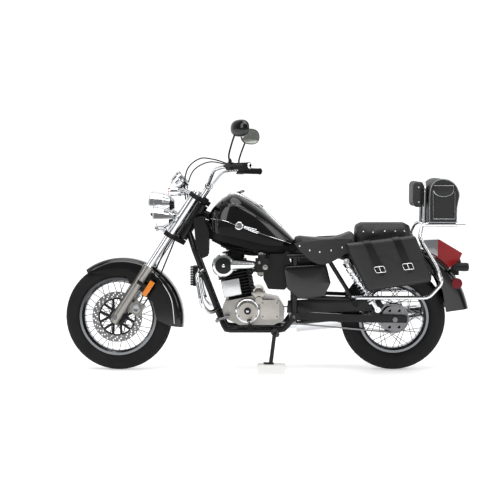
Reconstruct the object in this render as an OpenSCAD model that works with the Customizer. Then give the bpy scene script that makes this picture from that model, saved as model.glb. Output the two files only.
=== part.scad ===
/* [Stance] */
// Lean of the whole machine towards its side stand, degrees
lean = 3; // [1:0.5:5]
// Steering angle at rest, degrees, minus turns to the right
steer_rest = -5.5; // [-10:0.5:10]
// Rake of the fork from the upright, degrees
rake = 33; // [30:0.5:35]

/* [Wheels] */
// Distance between the axles
wheelbase = 1534; // [1500:1:1560]
// Place of the front axle ahead of the middle
front_x = 825; // [800:1:850]
// Outer radius of the front tyre
front_r = 298; // [292:1:302]
// Width of the front tyre
front_tyre_w = 110; // [100:1:114]
// Height of the front tyre's wall over the rim
front_wall = 81; // [74:1:90]
// Outer radius of the rear tyre
rear_r = 292; // [286:1:300]
// Width of the rear tyre
rear_tyre_w = 130; // [120:1:140]
// Height of the rear tyre's wall over the rim
rear_wall = 97; // [88:1:106]
// Spokes in each wheel
spoke_n = 36; // [24:4:40]
// Radius of the front brake disc
disc_r = 140; // [130:1:145]

/* [Fork] */
// Half the distance between the fork legs
fork_half = 100; // [98:1:106]
// Radius of the lower fork slider
slider_r = 27; // [24:1:29]
// Radius of the upper fork tube
tube_r = 19; // [17:0.5:21]
// Height of the slider's top along the leg
slider_top = 335; // [320:1:350]
// Place of the lower yoke along the leg
low_yoke = 545; // [530:1:555]
// Place of the top yoke along the leg
top_yoke = 800; // [790:1:815]
// Offset of the steering stem behind the legs
stem_off = 55; // [50:1:60]

/* [Body] */
// Height of the flat seat base
seat_base = 655; // [650:1:662]
// Half the distance between the seat rails
rail_half = 118; // [116:1:122]
// Radius of the rear fender's crown
fender_r = 415; // [405:1:425]
// Half the width of the rear fender
fender_half = 100; // [94:1:101]
// Half the bar's width from grip end to grip end
bar_half = 385; // [370:1:400]
// Radius of the handlebar tube
bar_r = 11.1; // [10.5:0.1:12.7]

/* [Stand] */
// Height of the block under the stand's foot
block_h = 50; // [40:1:60]
// Length of the block
block_l = 150; // [130:1:180]

/* [Hidden] */
$fn = 48;
// Shift that brings the middle of the outline to the origin
origin_shift = [0.82, -68.86, 0.27];
// Gap between a piece and its seat
seat_gap = 0.3;
// Gap of a running fit
run_gap = 0.05;
// Swell of a joint between two tube runs
weld = 0.4;
straight_limit = 0.001;
rear_x = front_x - wheelbase;
front_rim_r = front_r - front_wall;
rear_rim_r = rear_r - rear_wall;
axle_r = 8.5;
stem_r = 17;

// Shared placing
module placed() {
    translate(origin_shift) rotate([-lean, 0, 0]) children();
}
module at_fork() {
    translate([front_x, 0, front_r]) rotate([0, -rake, 0]) children();
}
module from_fork() {
    rotate([0, rake, 0]) translate([-front_x, 0, -front_r]) children();
}
// Fork pieces: children are drawn along the leg, with the axle at the origin
module steered_leg() {
    placed() at_fork() translate([-stem_off, 0, 0]) rotate([0, 0, steer_rest])
        translate([stem_off, 0, 0]) children();
}
// Steered pieces drawn upright
module steered() {
    steered_leg() from_fork() children();
}
module both_sides() {
    for (side = [0, 1]) mirror([0, side, 0]) children();
}
module rod(a, b, r) {
    d = b - a;
    run = norm(d);
    translate(a) rotate([0, acos(d.z / run), atan2(d.y, d.x)]) cylinder(h = run, r = r);
}
// A tube through points, its corners rounded; turned balls keep their seams out of the joints
module tube(points, r, bend = 0, turned = false) {
    p = bend > 0 ? rounded(points, bend) : points;
    for (i = [0:len(p) - 2]) rod(p[i], p[i + 1], r);
    if (len(p) > 2) for (i = [1:len(p) - 2]) {
        if (turned) joint_ball(p[i - 1], p[i], p[i + 1], r + weld);
        else translate(p[i]) sphere(r + weld);
    }
}
// A ball at a bend, its poles square to both tubes and its seam on the outside of the bend
module joint_ball(before, at, after, r) {
    u = unit(before - at);
    w = unit(after - at);
    if (norm(u + w) > straight_limit) {
        out = -unit(u + w);
        pole = unit(cross(u, w));
        side = cross(pole, out);
        multmatrix([
            [out.x, side.x, pole.x, at.x],
            [out.y, side.y, pole.y, at.y],
            [out.z, side.z, pole.z, at.z],
            [0, 0, 0, 1]]) sphere(r);
    }
}
function unit(v) = v / norm(v);
function corner(a, b, c, bend) =
    let (u = unit(a - b), w = unit(c - b))
    [for (t = [0:3]) let (k = t / 3)
        b + u * bend * (1 - k) * (1 - k) + w * bend * k * k];
function rounded(p, bend) = concat(
    [p[0]],
    [for (i = [1:len(p) - 2]) each corner(p[i - 1], p[i], p[i + 1], bend)],
    [p[len(p) - 1]]);
function flip(p) = [for (q = p) [q.x, -q.y, q.z]];
// A closed body through upright sections, each a ring of the same count
module loft(rings) {
    n = len(rings[0]);
    m = len(rings);
    sides = [for (i = [0:m - 2], j = [0:n - 1])
        [i * n + j, i * n + (j + 1) % n, (i + 1) * n + (j + 1) % n, (i + 1) * n + j]];
    first = [[for (j = [n - 1:-1:0]) j]];
    last = [[for (j = [0:n - 1]) (m - 1) * n + j]];
    polyhedron(points = [for (r = rings) each r], faces = concat(sides, first, last));
}
// A pillow section: place along X, half width, top, bottom
function pillow(x, w, top, bottom, fullness = 0.45) =
    [for (i = [0:12]) let (a = 180 * i / 12, c = cos(a), s = sin(a))
        [x, w * sign(c) * pow(abs(c), fullness), bottom + (top - bottom) * pow(s, fullness)]];

// Wheels
module at_front() { translate([front_x, 0, front_r]) children(); }
module at_rear() { translate([rear_x, 0, rear_r]) children(); }
module spin_y() { rotate([90, 0, 0]) children(); }

bead_drop = 14;
flange_t = 4;
module tyre(r, w, rim_r, rim_w) {
    mid = (r + rim_r) / 2 - 4;
    rise = r - mid;
    crown = [for (i = [-12:12]) let (a = i * 125 / 12, c = cos(a), s = sin(a))
        [mid + rise * sign(c) * pow(abs(c), 0.8), w / 2 * sign(s) * pow(abs(s), 0.8)]];
    seat = rim_w / 2 - flange_t - seat_gap;
    foot = [[rim_r + 1, rim_w / 2 + 2], [rim_r + 1, seat], [rim_r - bead_drop + seat_gap, seat],
        [rim_r - bead_drop + seat_gap, -seat], [rim_r + 1, -seat], [rim_r + 1, -rim_w / 2 - 2]];
    spin_y() rotate_extrude($fn = 96) polygon(concat(crown, foot));
}
module rim(rim_r, rim_w) {
    h = rim_w / 2;
    inner = h - flange_t;
    seat = rim_r - bead_drop;
    spin_y() rotate_extrude($fn = 96) polygon([
        [rim_r, h], [rim_r, inner], [seat, inner], [seat, -inner], [rim_r, -inner],
        [rim_r, -h], [seat + 1, -h], [seat - 12, -h / 2], [seat - 12, h / 2], [seat + 1, h]]);
}
spoke_r = 2;
module spokes(rim_r, flange_r, flange_y) {
    reach = rim_r - bead_drop - 8;
    for (i = [0:spoke_n - 1]) {
        side = i % 2 == 0 ? 1 : -1;
        lead = floor(i / 2) % 2 == 0 ? 50 : -50;
        a = 360 * i / spoke_n;
        rod([(flange_r - 4) * cos(a + lead), side * flange_y, (flange_r - 4) * sin(a + lead)],
            [reach * cos(a), side * 5, reach * sin(a)], spoke_r);
    }
}
front_rim_w = 76;
rear_rim_w = 92;
hub_flange_r = 48;
front_hub_y = 57;
disc_y = 60;
disc_t = 5;
rear_hub_y = 62;
module front_tyre() {
    color("#1c1c1e") steered() at_front() tyre(front_r, front_tyre_w, front_rim_r, front_rim_w);
}
module front_wheel() {
    color("#c9ccd0") steered() at_front() difference() {
        union() {
            rim(front_rim_r, front_rim_w);
            spokes(front_rim_r, hub_flange_r, 32);
            spin_y() cylinder(h = 2 * front_hub_y, r = 30, center = true);
            for (y = [-32, 32]) translate([0, y, 0])
                spin_y() cylinder(h = 8, r = hub_flange_r, center = true);
        }
        spin_y() cylinder(h = 3 * front_hub_y, r = axle_r + run_gap, center = true);
    }
}
disc_band = 35;
disc_arm_n = 6;
module brake_disc() {
    color("#9a9da1") steered() at_front() translate([0, disc_y, 0]) spin_y() {
        difference() {
            union() {
                difference() {
                    cylinder(h = disc_t, r = disc_r, center = true, $fn = 96);
                    cylinder(h = 2 * disc_t, r = disc_r - disc_band, center = true, $fn = 96);
                }
                cylinder(h = disc_t, r = hub_flange_r, center = true);
                for (i = [0:disc_arm_n - 1]) rotate(i * 360 / disc_arm_n)
                    translate([(hub_flange_r + disc_r - disc_band) / 2, 0, 0])
                        cube([disc_r - disc_band - hub_flange_r + 14, 20, disc_t - 1], center = true);
            }
            cylinder(h = 2 * disc_t, r = axle_r + 4, center = true);
        }
    }
}
module rear_tyre() {
    color("#1c1c1e") placed() at_rear() tyre(rear_r, rear_tyre_w, rear_rim_r, rear_rim_w);
}
drum_r = 85;
module rear_wheel() {
    color("#c9ccd0") placed() at_rear() difference() {
        union() {
            rim(rear_rim_r, rear_rim_w);
            spokes(rear_rim_r, drum_r, 34);
            spin_y() cylinder(h = 2 * rear_hub_y, r = 40, center = true);
            spin_y() cylinder(h = 80, r = drum_r, center = true);
        }
        spin_y() cylinder(h = 3 * rear_hub_y, r = axle_r + run_gap, center = true);
    }
}
sprocket_r = 72;
sprocket_y = 74;
sprocket_t = 7;
tooth_n = 30;
module rear_sprocket() {
    color("#8d8f92") placed() at_rear() translate([0, sprocket_y, 0]) spin_y() difference() {
        union() {
            cylinder(h = sprocket_t, r = sprocket_r, center = true);
            translate([0, 0, (sprocket_y - rear_hub_y - seat_gap) / 2])
                cylinder(h = sprocket_y - rear_hub_y - seat_gap, r = 45, center = true);
        }
        cylinder(h = 60, r = axle_r + run_gap, center = true);
        for (i = [0:5]) rotate(i * 60) translate([53, 0, 0])
            cylinder(h = 60, r = 9, center = true);
    }
}

// Steering
yoke_t = 26;
yoke_front = 30;
yoke_boss_r = 34;
module yoke_plate(z) {
    translate([0, 0, z - yoke_t / 2]) {
        translate([-stem_off, 0, 0]) cylinder(h = yoke_t, r = yoke_boss_r);
        both_sides() translate([0, fork_half, 0]) cylinder(h = yoke_t, r = yoke_front);
        linear_extrude(height = yoke_t) polygon([[yoke_front, -fork_half], [yoke_front, fork_half],
            [-24, fork_half], [-stem_off - 24, 24], [-stem_off - 24, -24], [-24, -fork_half]]);
    }
}
module yokes() {
    color("#2a2b2d") steered_leg() difference() {
        union() {
            yoke_plate(low_yoke);
            yoke_plate(top_yoke);
            translate([-stem_off, 0, low_yoke]) cylinder(h = top_yoke - low_yoke + 22, r = stem_r);
        }
        both_sides() translate([0, fork_half, low_yoke - yoke_t])
            cylinder(h = top_yoke - low_yoke + 2 * yoke_t, r = tube_r + seat_gap);
    }
}
module fork_tubes() {
    color("#d5d8db") steered_leg() both_sides() {
        translate([0, fork_half, slider_top - 60])
            cylinder(h = top_yoke - slider_top + 60 + yoke_t / 2 + 14, r = tube_r);
        cover_low = low_yoke + yoke_t / 2 + seat_gap;
        translate([0, fork_half, cover_low])
            cylinder(h = top_yoke - yoke_t / 2 - seat_gap - cover_low, r = tube_r + 6);
    }
}
fender_cx = front_x - 23;
fender_cz = front_r - 16;
front_fender_r = 344;
front_fender_half = 66;
fender_t = 3;
boss_z = 270;
module fork_sliders() {
    color("#b9bcc0") steered_leg() both_sides() difference() {
        union() {
            translate([0, fork_half, -30]) cylinder(h = slider_top + 30, r = slider_r);
            translate([0, fork_half, slider_top - 22]) cylinder(h = 22, r = slider_r + 3);
            translate([0, front_fender_half + seat_gap, boss_z]) rotate([-90, 0, 0])
                cylinder(h = fork_half - front_fender_half, r = 9);
        }
        translate([0, fork_half, slider_top - 60 - seat_gap])
            cylinder(h = 100, r = tube_r + seat_gap);
        translate([0, fork_half, 0]) spin_y()
            cylinder(h = 4 * slider_r, r = axle_r + seat_gap, center = true);
    }
}
axle_end = fork_half + slider_r + 8;
module front_axle() {
    color("#8d8f92") steered_leg() {
        spin_y() cylinder(h = 2 * axle_end, r = axle_r, center = true);
        both_sides() translate([0, axle_end - 7.5, 0]) rotate([-90, 0, 0])
            cylinder(h = 12, r = axle_r + 5, $fn = 6);
        for (s = [-1, 1]) translate([0, s * (front_hub_y + 8.2 + (s > 0 ? 4 : 0)), 0])
            spin_y() cylinder(h = (s > 0 ? 4 : 12), r = axle_r + 3, center = true);
    }
}
riser_x = -30;
riser_half = 45;
riser_h = 72;
bar_clamp_z = top_yoke + yoke_t / 2 + riser_h;
function leg_to_up(p) = [
    front_x + p.x * cos(rake) - p.z * sin(rake), p.y, front_r + p.x * sin(rake) + p.z * cos(rake)];
bar_mid = leg_to_up([riser_x, 0, bar_clamp_z]);
grip_l = 118;
bar_bend = 28;
bore_run_out = 0.5;
bar_bore_r = 8;
bar_bore_l = 60;
bar_base = leg_to_up([-stem_off, 0, top_yoke]);
bar_end = bar_base + [-281.2, bar_half, 183];
bar_elbow = bar_base + [-131.2, bar_half - 115, 183];
bar_shoulder = bar_base + [-75.2, bar_half - 172, 169];
bar_left = [bar_end, bar_elbow, bar_shoulder, [bar_mid.x, riser_half + 28, bar_mid.z]];
bar_path = concat(flip(bar_left), [for (i = [3:-1:0]) bar_left[i]]);
module handlebar() {
    color("#d5d8db") steered() difference() {
        union() {
            tube(bar_path, bar_r, bar_bend, turned = true);
            from_up_riser();
        }
        both_sides() rod(bar_end - grip_dir, bar_end + grip_dir * (bar_bore_l + bore_run_out), bar_bore_r);
    }
}
module from_up_riser() {
    at_fork() both_sides() {
        translate([riser_x, riser_half, top_yoke + yoke_t / 2 + seat_gap])
            cylinder(h = riser_h - seat_gap, r = 14);
        translate([riser_x, riser_half, bar_clamp_z]) spin_y()
            cylinder(h = 30, r = bar_r + 7, center = true);
    }
}
grip_dir = unit(bar_elbow - bar_end);
grip_side = [-grip_dir.y, grip_dir.x, 0];
grip_r = 16.5;
module along_grip(start, run, r, bore) {
    difference() {
        rod(bar_end + grip_dir * start, bar_end + grip_dir * (start + run), r);
        rod(bar_end + grip_dir * (start - 5), bar_end + grip_dir * (start + run + 5), bore);
    }
}
module grips() {
    color("#1c1c1e") steered() both_sides() along_grip(-2, grip_l, grip_r, bar_r + seat_gap);
}
pod_start = grip_l + 2;
pod_l = 38;
pod_r = 21;
lever_pivot = bar_end + grip_dir * (pod_start + 20);
module bar_controls() {
    color("#232426") steered() both_sides() {
        along_grip(pod_start, pod_l, pod_r, bar_r + seat_gap);
        rod(lever_pivot + grip_side * (pod_r - 1), lever_pivot + grip_side * 46, 7);
        rod(lever_pivot + grip_side * 46, bar_end + grip_side * 54, 5);
    }
}
mirror_mid = bar_end + [60, -50, 200];
mirror_r = 46;
mirror_stretch = 20;
module mirrors() {
    color("#26272a") steered() both_sides() {
        foot = lever_pivot + [0, 0, pod_r + 2 * seat_gap];
        tube([foot, foot + [6, 0, 40], mirror_mid + [30, -10, -50], mirror_mid + [6, 0, 0]], 5, 14);
        translate(mirror_mid) rotate([0, 0, 14]) hull() for (y = [-mirror_stretch, mirror_stretch])
            translate([0, y, 0]) rotate([0, 90, 0]) {
                translate([0, 0, -12]) cylinder(h = 5, r = mirror_r, $fn = 24);
                cylinder(h = 14, r = mirror_r * 0.62, $fn = 24);
            }
    }
}
lamp_mid = leg_to_up([157.3, 0, low_yoke + 99.3]);
lamp_r = 77;
lamp_depth = 140;
lens_x = 40;
// A lamp bowl that faces +X: rim radius, depth, lens plane ahead of its middle
module bowl(r, depth, ahead) {
    rotate([0, 90, 0]) translate([0, 0, ahead - depth]) rotate_extrude() polygon([
        [0, 0], [r * 0.35, 4], [r * 0.68, depth * 0.2], [r * 0.88, depth * 0.48],
        [r * 0.94, depth * 0.8], [r, depth * 0.82], [r, depth * 0.95], [r * 0.92, depth],
        [0, depth * 1.04]]);
}
module headlamp() {
    color("#d5d8db") steered() {
        translate(lamp_mid) bowl(lamp_r, lamp_depth, lens_x);
        at_fork() {
            rod([yoke_front + seat_gap, 0, low_yoke + 7], [yoke_front + 92, 0, low_yoke + 7], 6);
            rod([yoke_front + 86, 0, low_yoke + 3], [148, 0, 620], 8);
        }
    }
}
spot_r = 65;
spot_y = 152;
spot_mid = leg_to_up([74, spot_y, low_yoke + 62.8]);
module spot_lamps() {
    color("#d5d8db") steered() {
        both_sides() translate(spot_mid) bowl(spot_r, 105, 45);
        at_fork() {
            bar_x = yoke_front + 34;
            rod([bar_x, -spot_y - 8, low_yoke - 8], [bar_x, spot_y + 8, low_yoke - 8], 7);
            both_sides() {
                rod([yoke_front + seat_gap, 45, low_yoke - 6], [bar_x, 45, low_yoke - 6], 6);
                rod([bar_x, spot_y, low_yoke - 8], [bar_x + 14, spot_y, low_yoke + 45], 8);
            }
        }
    }
}
signal_mid = leg_to_up([93.7, 158, top_yoke - 33.3]);
module signal_body(r, l) {
    rotate([0, 90, 0]) rotate_extrude() polygon([
        [0, -l / 2], [r * 0.5, -l * 0.44], [r * 0.85, -l * 0.2], [r, l * 0.15], [r, l * 0.36],
        [r * 0.9, l / 2], [0, l * 0.56]]);
}
module front_signals() {
    color("#d5d8db") steered() both_sides() {
        translate(signal_mid) signal_body(25, 68);
        at_fork() rod([yoke_front + seat_gap, fork_half, top_yoke - 4], [70, fork_half, top_yoke - 4], 7);
        rod(leg_to_up([66, fork_half, top_yoke - 4]), signal_mid, 7);
    }
}
gauge_mid = leg_to_up([126.4, 0, top_yoke + 17]);
module gauge() {
    color("#d5d8db") steered() {
        translate(gauge_mid) rotate([0, -48, 0]) rotate_extrude() polygon([
            [0, -44], [30, -42], [44, -20], [48, 10], [52, 14], [52, 28], [46, 34], [0, 36]]);
        at_fork() rod([yoke_front + seat_gap, 0, top_yoke], [118, 0, top_yoke], 9);
    }
}
front_lip = 54;
front_tail = 187;
module fender_arc(r, depth, half, from, to) {
    spin_y() rotate(from) rotate_extrude(angle = to - from, $fn = 120) difference() {
        translate([r - depth, -half]) square([depth, 2 * half]);
        translate([r - depth - 1, -half + fender_t]) square([depth + 1 - fender_t, 2 * (half - fender_t)]);
    }
}
// Lower edge of the front fender's side, in X and Z, from its lip to its tail
skirt_edge = [[1100, 548], [772, 524], [754, 485], [709, 446], [628, 384], [602, 282], [520, 244], [440, 238]];
skirt_depth = 150;
module front_fender() {
    color("#111113") steered() difference() {
        translate([fender_cx, 0, fender_cz]) rotate([0, 180, 0]) mirror([1, 0, 0]) mirror([0, 0, 1])
            fender_arc(front_fender_r, skirt_depth, front_fender_half, front_lip, front_tail);
        spin_y() linear_extrude(height = 3 * front_fender_half, center = true)
            polygon(concat(skirt_edge, [[440, -100], [1100, -100]]));
    }
}
caliper_x = -70;
caliper_z = 102;
module brake_caliper() {
    color("#3a3b3d") steered_leg() difference() {
        union() {
            translate([caliper_x - 32, 44, caliper_z - 36]) cube([62, 48, 72]);
            translate([caliper_x, 92, caliper_z]) rotate([-90, 0, 0]) cylinder(h = 9, r = 25);
            translate([caliper_x, 80, caliper_z - 18])
                cube([-caliper_x - slider_r - seat_gap, 12, 36]);
        }
        spin_y_leg_slot();
    }
}
module spin_y_leg_slot() {
    translate([0, disc_y, 0]) spin_y() cylinder(h = disc_t + 10, r = disc_r + 6, center = true);
}
hose_r = 4;
module brake_hoses() {
    color("#1c1c1e") steered_leg() {
        top = [-20, 62, low_yoke - yoke_t / 2 - 6 * seat_gap];
        tube([top, top + [0, 8, -60], [-52, 76, 260], [caliper_x + 6, 76, caliper_z + 36 + seat_gap]],
            hose_r, 18);
        second = [-34, 34, low_yoke - yoke_t / 2 - 8 * seat_gap];
        tube([second, second + [-16, 30, -60], [-92, 74, 250],
            [caliper_x - 18, 74, caliper_z + 36 + seat_gap]], hose_r, 18);
    }
}
module fork_reflectors() {
    color("#d87a1a") steered_leg() both_sides() translate([0, fork_half + slider_r + seat_gap, 0]) {
        translate([-82, 0, 190]) cube([28, 9, 92]);
        translate([-56, 0, 226]) cube([62, 4, 20]);
    }
}

// Frame
neck_low = low_yoke + yoke_t / 2 + 6;
neck_high = top_yoke - yoke_t / 2 - 6;
neck_r = 33;
neck_up = leg_to_up([-stem_off, 0, neck_high - 45]);
neck_down = leg_to_up([-stem_off, 0, neck_low + 50]);
spine_rear = [-112, 0, 672];
spine_r = 22;
down_top = neck_down + [-8, 0, 0];
down_half = 62;
down_knee = [down_top.x - 38, down_half, down_top.z - 110];
down_low = [268, down_half, 330];
cradle_z = 232;
cradle_half = 92;
pivot_x = -152;
pivot_z = 305;
pivot_half = 118;
rail_r = 13;
rail_z = seat_base - seat_gap - rail_r;
rail_tip = -845;
tank_boss = 26 - seat_gap;
peg_x = -476;
peg_z = 408;
peg_face = 134;
strut_r = 11;
tray_r = 10;
cover_half = 75 - seat_gap;
cover_rod = leg_to_up([-stem_off - neck_r, 0, neck_high - 61]);
cover_in = 136;
cover_boss = [-220, 417.5];
shock_top = [-434, 150, 618];
shock_low = [-608, 150, 352];
shock_eye = 30;
boss_x = [-620, -800];
module frame() {
    color("#17181a") placed() difference() {
        union() {
            at_fork() translate([-stem_off, 0, neck_low])
                cylinder(h = neck_high - neck_low, r = neck_r);
            rod(neck_up, spine_rear, spine_r);
            rod([spine_rear.x, -rail_half, spine_rear.z - 16], [spine_rear.x, rail_half, spine_rear.z - 16], 15);
            translate([270, 0, spine_at(270)]) spin_y() cylinder(h = 2 * tank_boss, r = 14, center = true);
            translate([-10, 0, spine_at(-10)]) spin_y() cylinder(h = 2 * tank_boss, r = 14, center = true);
            both_sides() {
                tube([down_top, down_knee, down_low,
                    [225, cradle_half, cradle_z], [-95, cradle_half, cradle_z],
                    [pivot_x, cradle_half + 8, pivot_z],
                    [pivot_x - 6, rail_half, rail_z]], 16, 26, turned = true);
                rod([spine_rear.x, rail_half, rail_z], [rail_tip, rail_half, rail_z], rail_r);
                for (x = boss_x) rod([x, fender_half + seat_gap, rail_z], [x, rail_half, rail_z], 9);
                rod([pivot_x, cradle_half, pivot_z], [pivot_x, pivot_half, pivot_z], 26);
                rod([pivot_x - 4, rail_half, 420], [peg_x, rail_half, peg_z], strut_r);
                rod([cover_boss.x, rail_half, cover_boss.y], [cover_boss.x, cover_in - seat_gap, cover_boss.y], 8);
                rod([shock_top.x, rail_half, shock_top.z], shock_top - [0, shock_eye / 2 + seat_gap, 0], 14);
                rod(case_mount + case_normal * seat_gap, case_mount + case_normal * 36, 10);
                rod([peg_x, rail_half, peg_z], [-330, rail_half, rail_z], strut_r);
                rod([peg_x, rail_half - 12, peg_z], [peg_x, peg_face, peg_z], 24);
            }
            rod([-255, -rail_half, rail_z], [-255, rail_half, rail_z], tray_r);
            rod(cover_rod - [0, cover_half, 0], cover_rod + [0, cover_half, 0], 8);
            in_level() stand_pin();
            rod([225, -cradle_half, cradle_z], [225, cradle_half, cradle_z], 12);
            rod([-95, -cradle_half, cradle_z], [-95, cradle_half, cradle_z], 12);
        }
        at_fork() translate([-stem_off, 0, 0]) cylinder(h = 2000, r = stem_r + run_gap);
        translate([pivot_x, 0, pivot_z]) spin_y() cylinder(h = 3 * pivot_half, r = 10, center = true);
    }
}
function spine_at(x) = spine_rear.z + (x - spine_rear.x) * (neck_up.z - spine_rear.z) / (neck_up.x - spine_rear.x);
module neck_cover() {
    color("#111113") placed() both_sides() translate([0, cover_half + seat_gap + 5, 0]) spin_y()
        linear_extrude(height = 5) translate([cover_rod.x, cover_rod.z])
            polygon([[44, -2], [-8, 10], [-42, -82], [-38, -212], [-4, -226], [32, -152]]);
}
arm_h = 44;
arm_y = 100;
pivot_in = cradle_half - 10;
module swingarm() {
    color("#17181a") placed() difference() {
        union() {
            rod([pivot_x, -pivot_in, pivot_z], [pivot_x, pivot_in, pivot_z], 24);
            both_sides() {
                translate([shock_low.x, arm_y, (rear_r + shock_low.z) / 2]) cube([40, 18, shock_low.z - rear_r], center = true);
                rod([shock_low.x, arm_y, shock_low.z], shock_low - [0, shock_eye / 2 + seat_gap, 0], 12);
            }
            both_sides() hull() {
                translate([pivot_x - 60, 52, pivot_z]) cube([10, 12, arm_h], center = true);
                translate([pivot_x - 20, 52, pivot_z]) cube([10, 12, arm_h - 6], center = true);
            }
            both_sides() hull() {
                translate([pivot_x - 60, 55, pivot_z]) cube([10, 18, arm_h], center = true);
                translate([-430, arm_y, pivot_z - 6]) cube([10, 18, arm_h], center = true);
            }
            both_sides() hull() {
                translate([-430, arm_y, pivot_z - 6]) cube([10, 18, arm_h], center = true);
                translate([rear_x - 62, arm_y, rear_r]) cube([10, 18, arm_h - 6], center = true);
            }
        }
        at_rear() spin_y() cylinder(h = 400, r = axle_r + seat_gap, center = true);
        translate([pivot_x, 0, pivot_z]) spin_y() cylinder(h = 400, r = 10, center = true);
    }
}
rear_axle_half = arm_y + 22;
module rear_axle() {
    color("#8d8f92") placed() at_rear() {
        spin_y() cylinder(h = 2 * rear_axle_half, r = axle_r, center = true);
        both_sides() translate([0, arm_y + 9 + seat_gap, 0]) rotate([-90, 0, 0])
            cylinder(h = 11, r = 15, $fn = 6);
    }
}

// Engine
engine_half = 112;
cylinder_lean = 11;
cylinder_x = 146;
case_rear = [60, 426.8];
case_front = [226, case_rear.y - (226 - case_rear.x) * tan(cylinder_lean)];
case_nose = [[232, 300], [244, 350]];
case_normal = unit([case_nose[1].y - case_nose[0].y, 0, case_nose[0].x - case_nose[1].x]);
case_mount = [(case_nose[0].x + case_nose[1].x) / 2, down_half, (case_nose[0].y + case_nose[1].y) / 2];
// Pocket in the left rear of the crankcase, where the chain meets its sprocket
pocket_front = 34;
pocket_in = 58;
pocket_out = 94;
drive_r = 34;
module crankcase() {
    color("#8b8780") placed() {
        difference() {
            translate([0, engine_half, 0]) spin_y() linear_extrude(height = 2 * engine_half)
                polygon(concat(case_nose, [case_front, case_rear, [-70, 400], [-100, 350],
                    [-96, 290], [-40, 262], [150, 262]]));
            translate([-120, pocket_in, 250]) cube([120 + pocket_front, pocket_out - pocket_in, 145]);
        }
        rod([chain_front.x, pocket_in - 1, chain_front.y], [chain_front.x, chain_y + 3, chain_front.y], 12);
        rod([chain_front.x, chain_y - 3, chain_front.y], [chain_front.x, chain_y + 3, chain_front.y], drive_r);
    }
}
cylinder_base = [cylinder_x, 0,
    case_rear.y - (cylinder_x - case_rear.x) * tan(cylinder_lean) + seat_gap / cos(cylinder_lean)];
fin_n = 9;
fin_side = 98;
low_fin_side = 93;
fin_pitch = 17;
barrel_h = fin_n * fin_pitch + 14;
head_h = 44;
head_side = 120;
head_fin_side = 150;
rocker_h = 40;
module fin(h, w, d) {
    linear_extrude(height = h) intersection() {
        square([w, d], center = true);
        circle(r = norm([w, d]) / 2 - 12);
    }
}
module barrel() {
    color("#2c2c2e") placed() translate(cylinder_base) rotate([0, cylinder_lean, 0]) {
        fin(barrel_h, 128, 128);
        for (i = [0:fin_n - 1]) translate([0, 0, 16 + i * fin_pitch])
            fin(6, i > 5 ? 2 * fin_side : 176, i > 5 ? 2 * fin_side : 2 * low_fin_side);
    }
}
module cylinder_head() {
    color("#2c2c2e") placed() translate(cylinder_base) rotate([0, cylinder_lean, 0])
        translate([0, 0, barrel_h + seat_gap]) {
            fin(head_h, head_side, head_side);
            for (i = [0:1]) translate([0, 0, 10 + i * fin_pitch]) fin(6, head_fin_side, head_fin_side);
            translate([0, 0, head_h - weld]) fin(rocker_h, head_side + 12, head_side - 8);
            translate([0, 0, head_h + rocker_h - 2 * weld]) fin(10, head_side - 16, head_side - 32);
        }
}
module head_cover() {
    color("#c9ccd0") placed() translate(cylinder_base) rotate([0, cylinder_lean, 0])
        translate([36, low_fin_side + seat_gap, 16]) rotate([-90, 0, 0]) linear_extrude(height = 14)
            translate([0, -48]) square([100, 92], center = true);
}
module left_engine_covers() {
    color("#a8a49b") placed() {
        translate([105, engine_half + seat_gap, 343]) rotate([-90, 0, 0]) rotate_extrude()
            polygon([[0, 0], [66, 0], [66, 26], [60, 32], [46, 34], [46, 30], [18, 30], [18, 36], [0, 36]]);
        translate([-18, engine_half + seat_gap, 350]) rotate([-90, 0, 0]) linear_extrude(height = 26)
            intersection() {
                square([104, 108], center = true);
                circle(r = 66);
            }
        translate([42, engine_half + seat_gap, 400]) rotate([-90, 0, 0]) cylinder(h = 24, r = 20);
    }
}
module right_engine_cover() {
    color("#a8a49b") placed() translate([60, -engine_half - seat_gap, 343]) spin_y() rotate_extrude()
        polygon([[0, 0], [76, 0], [76, 30], [66, 40], [30, 44], [0, 44]]);
}
module air_cleaner() {
    color("#d5d8db") placed() {
        translate([236, 128, 596]) rotate([-90, 0, 0]) rotate_extrude()
            polygon([[0, 0], [58, 0], [64, 6], [64, 34], [58, 42], [48, 44], [0, 52]]);
        hull() {
            translate([190, 148, 600]) rotate([0, 90, 0]) cylinder(h = 6, r = 36, $fn = 32);
            translate([66, 116, 596]) rotate([0, 90, 0]) cylinder(h = 6, r = 20, $fn = 32);
        }
    }
}
module carburettor() {
    color("#6d6f72") placed() {
        translate([-12, 92, 556]) cube([74, 50, 76]);
        translate([24, 117, 632]) cylinder(h = 18, r = 24);
        translate([62, 117, 596]) rotate([0, 90, 0]) cylinder(h = 4 - seat_gap, r = 18);
        translate([10, 60, 575]) cube([40, 32, 40]);
        translate(cylinder_base) rotate([0, cylinder_lean, 0])
            rod([-fin_side - seat_gap, 62, 138], [-150, 62, 138], 15);
    }
}
header_start = [171, -fin_side - seat_gap, 539];
module exhaust() {
    color("#d5d8db") placed() {
        tube([header_start, [header_start.x, -178, header_start.z], [168, -178, 420], [160, -178, 280],
            [110, -178, 214], [-180, -178, 226]], 21, 40);
        rod([-170, -178, 225.5], [-930, -200, 300], 46);
    }
}

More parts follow.
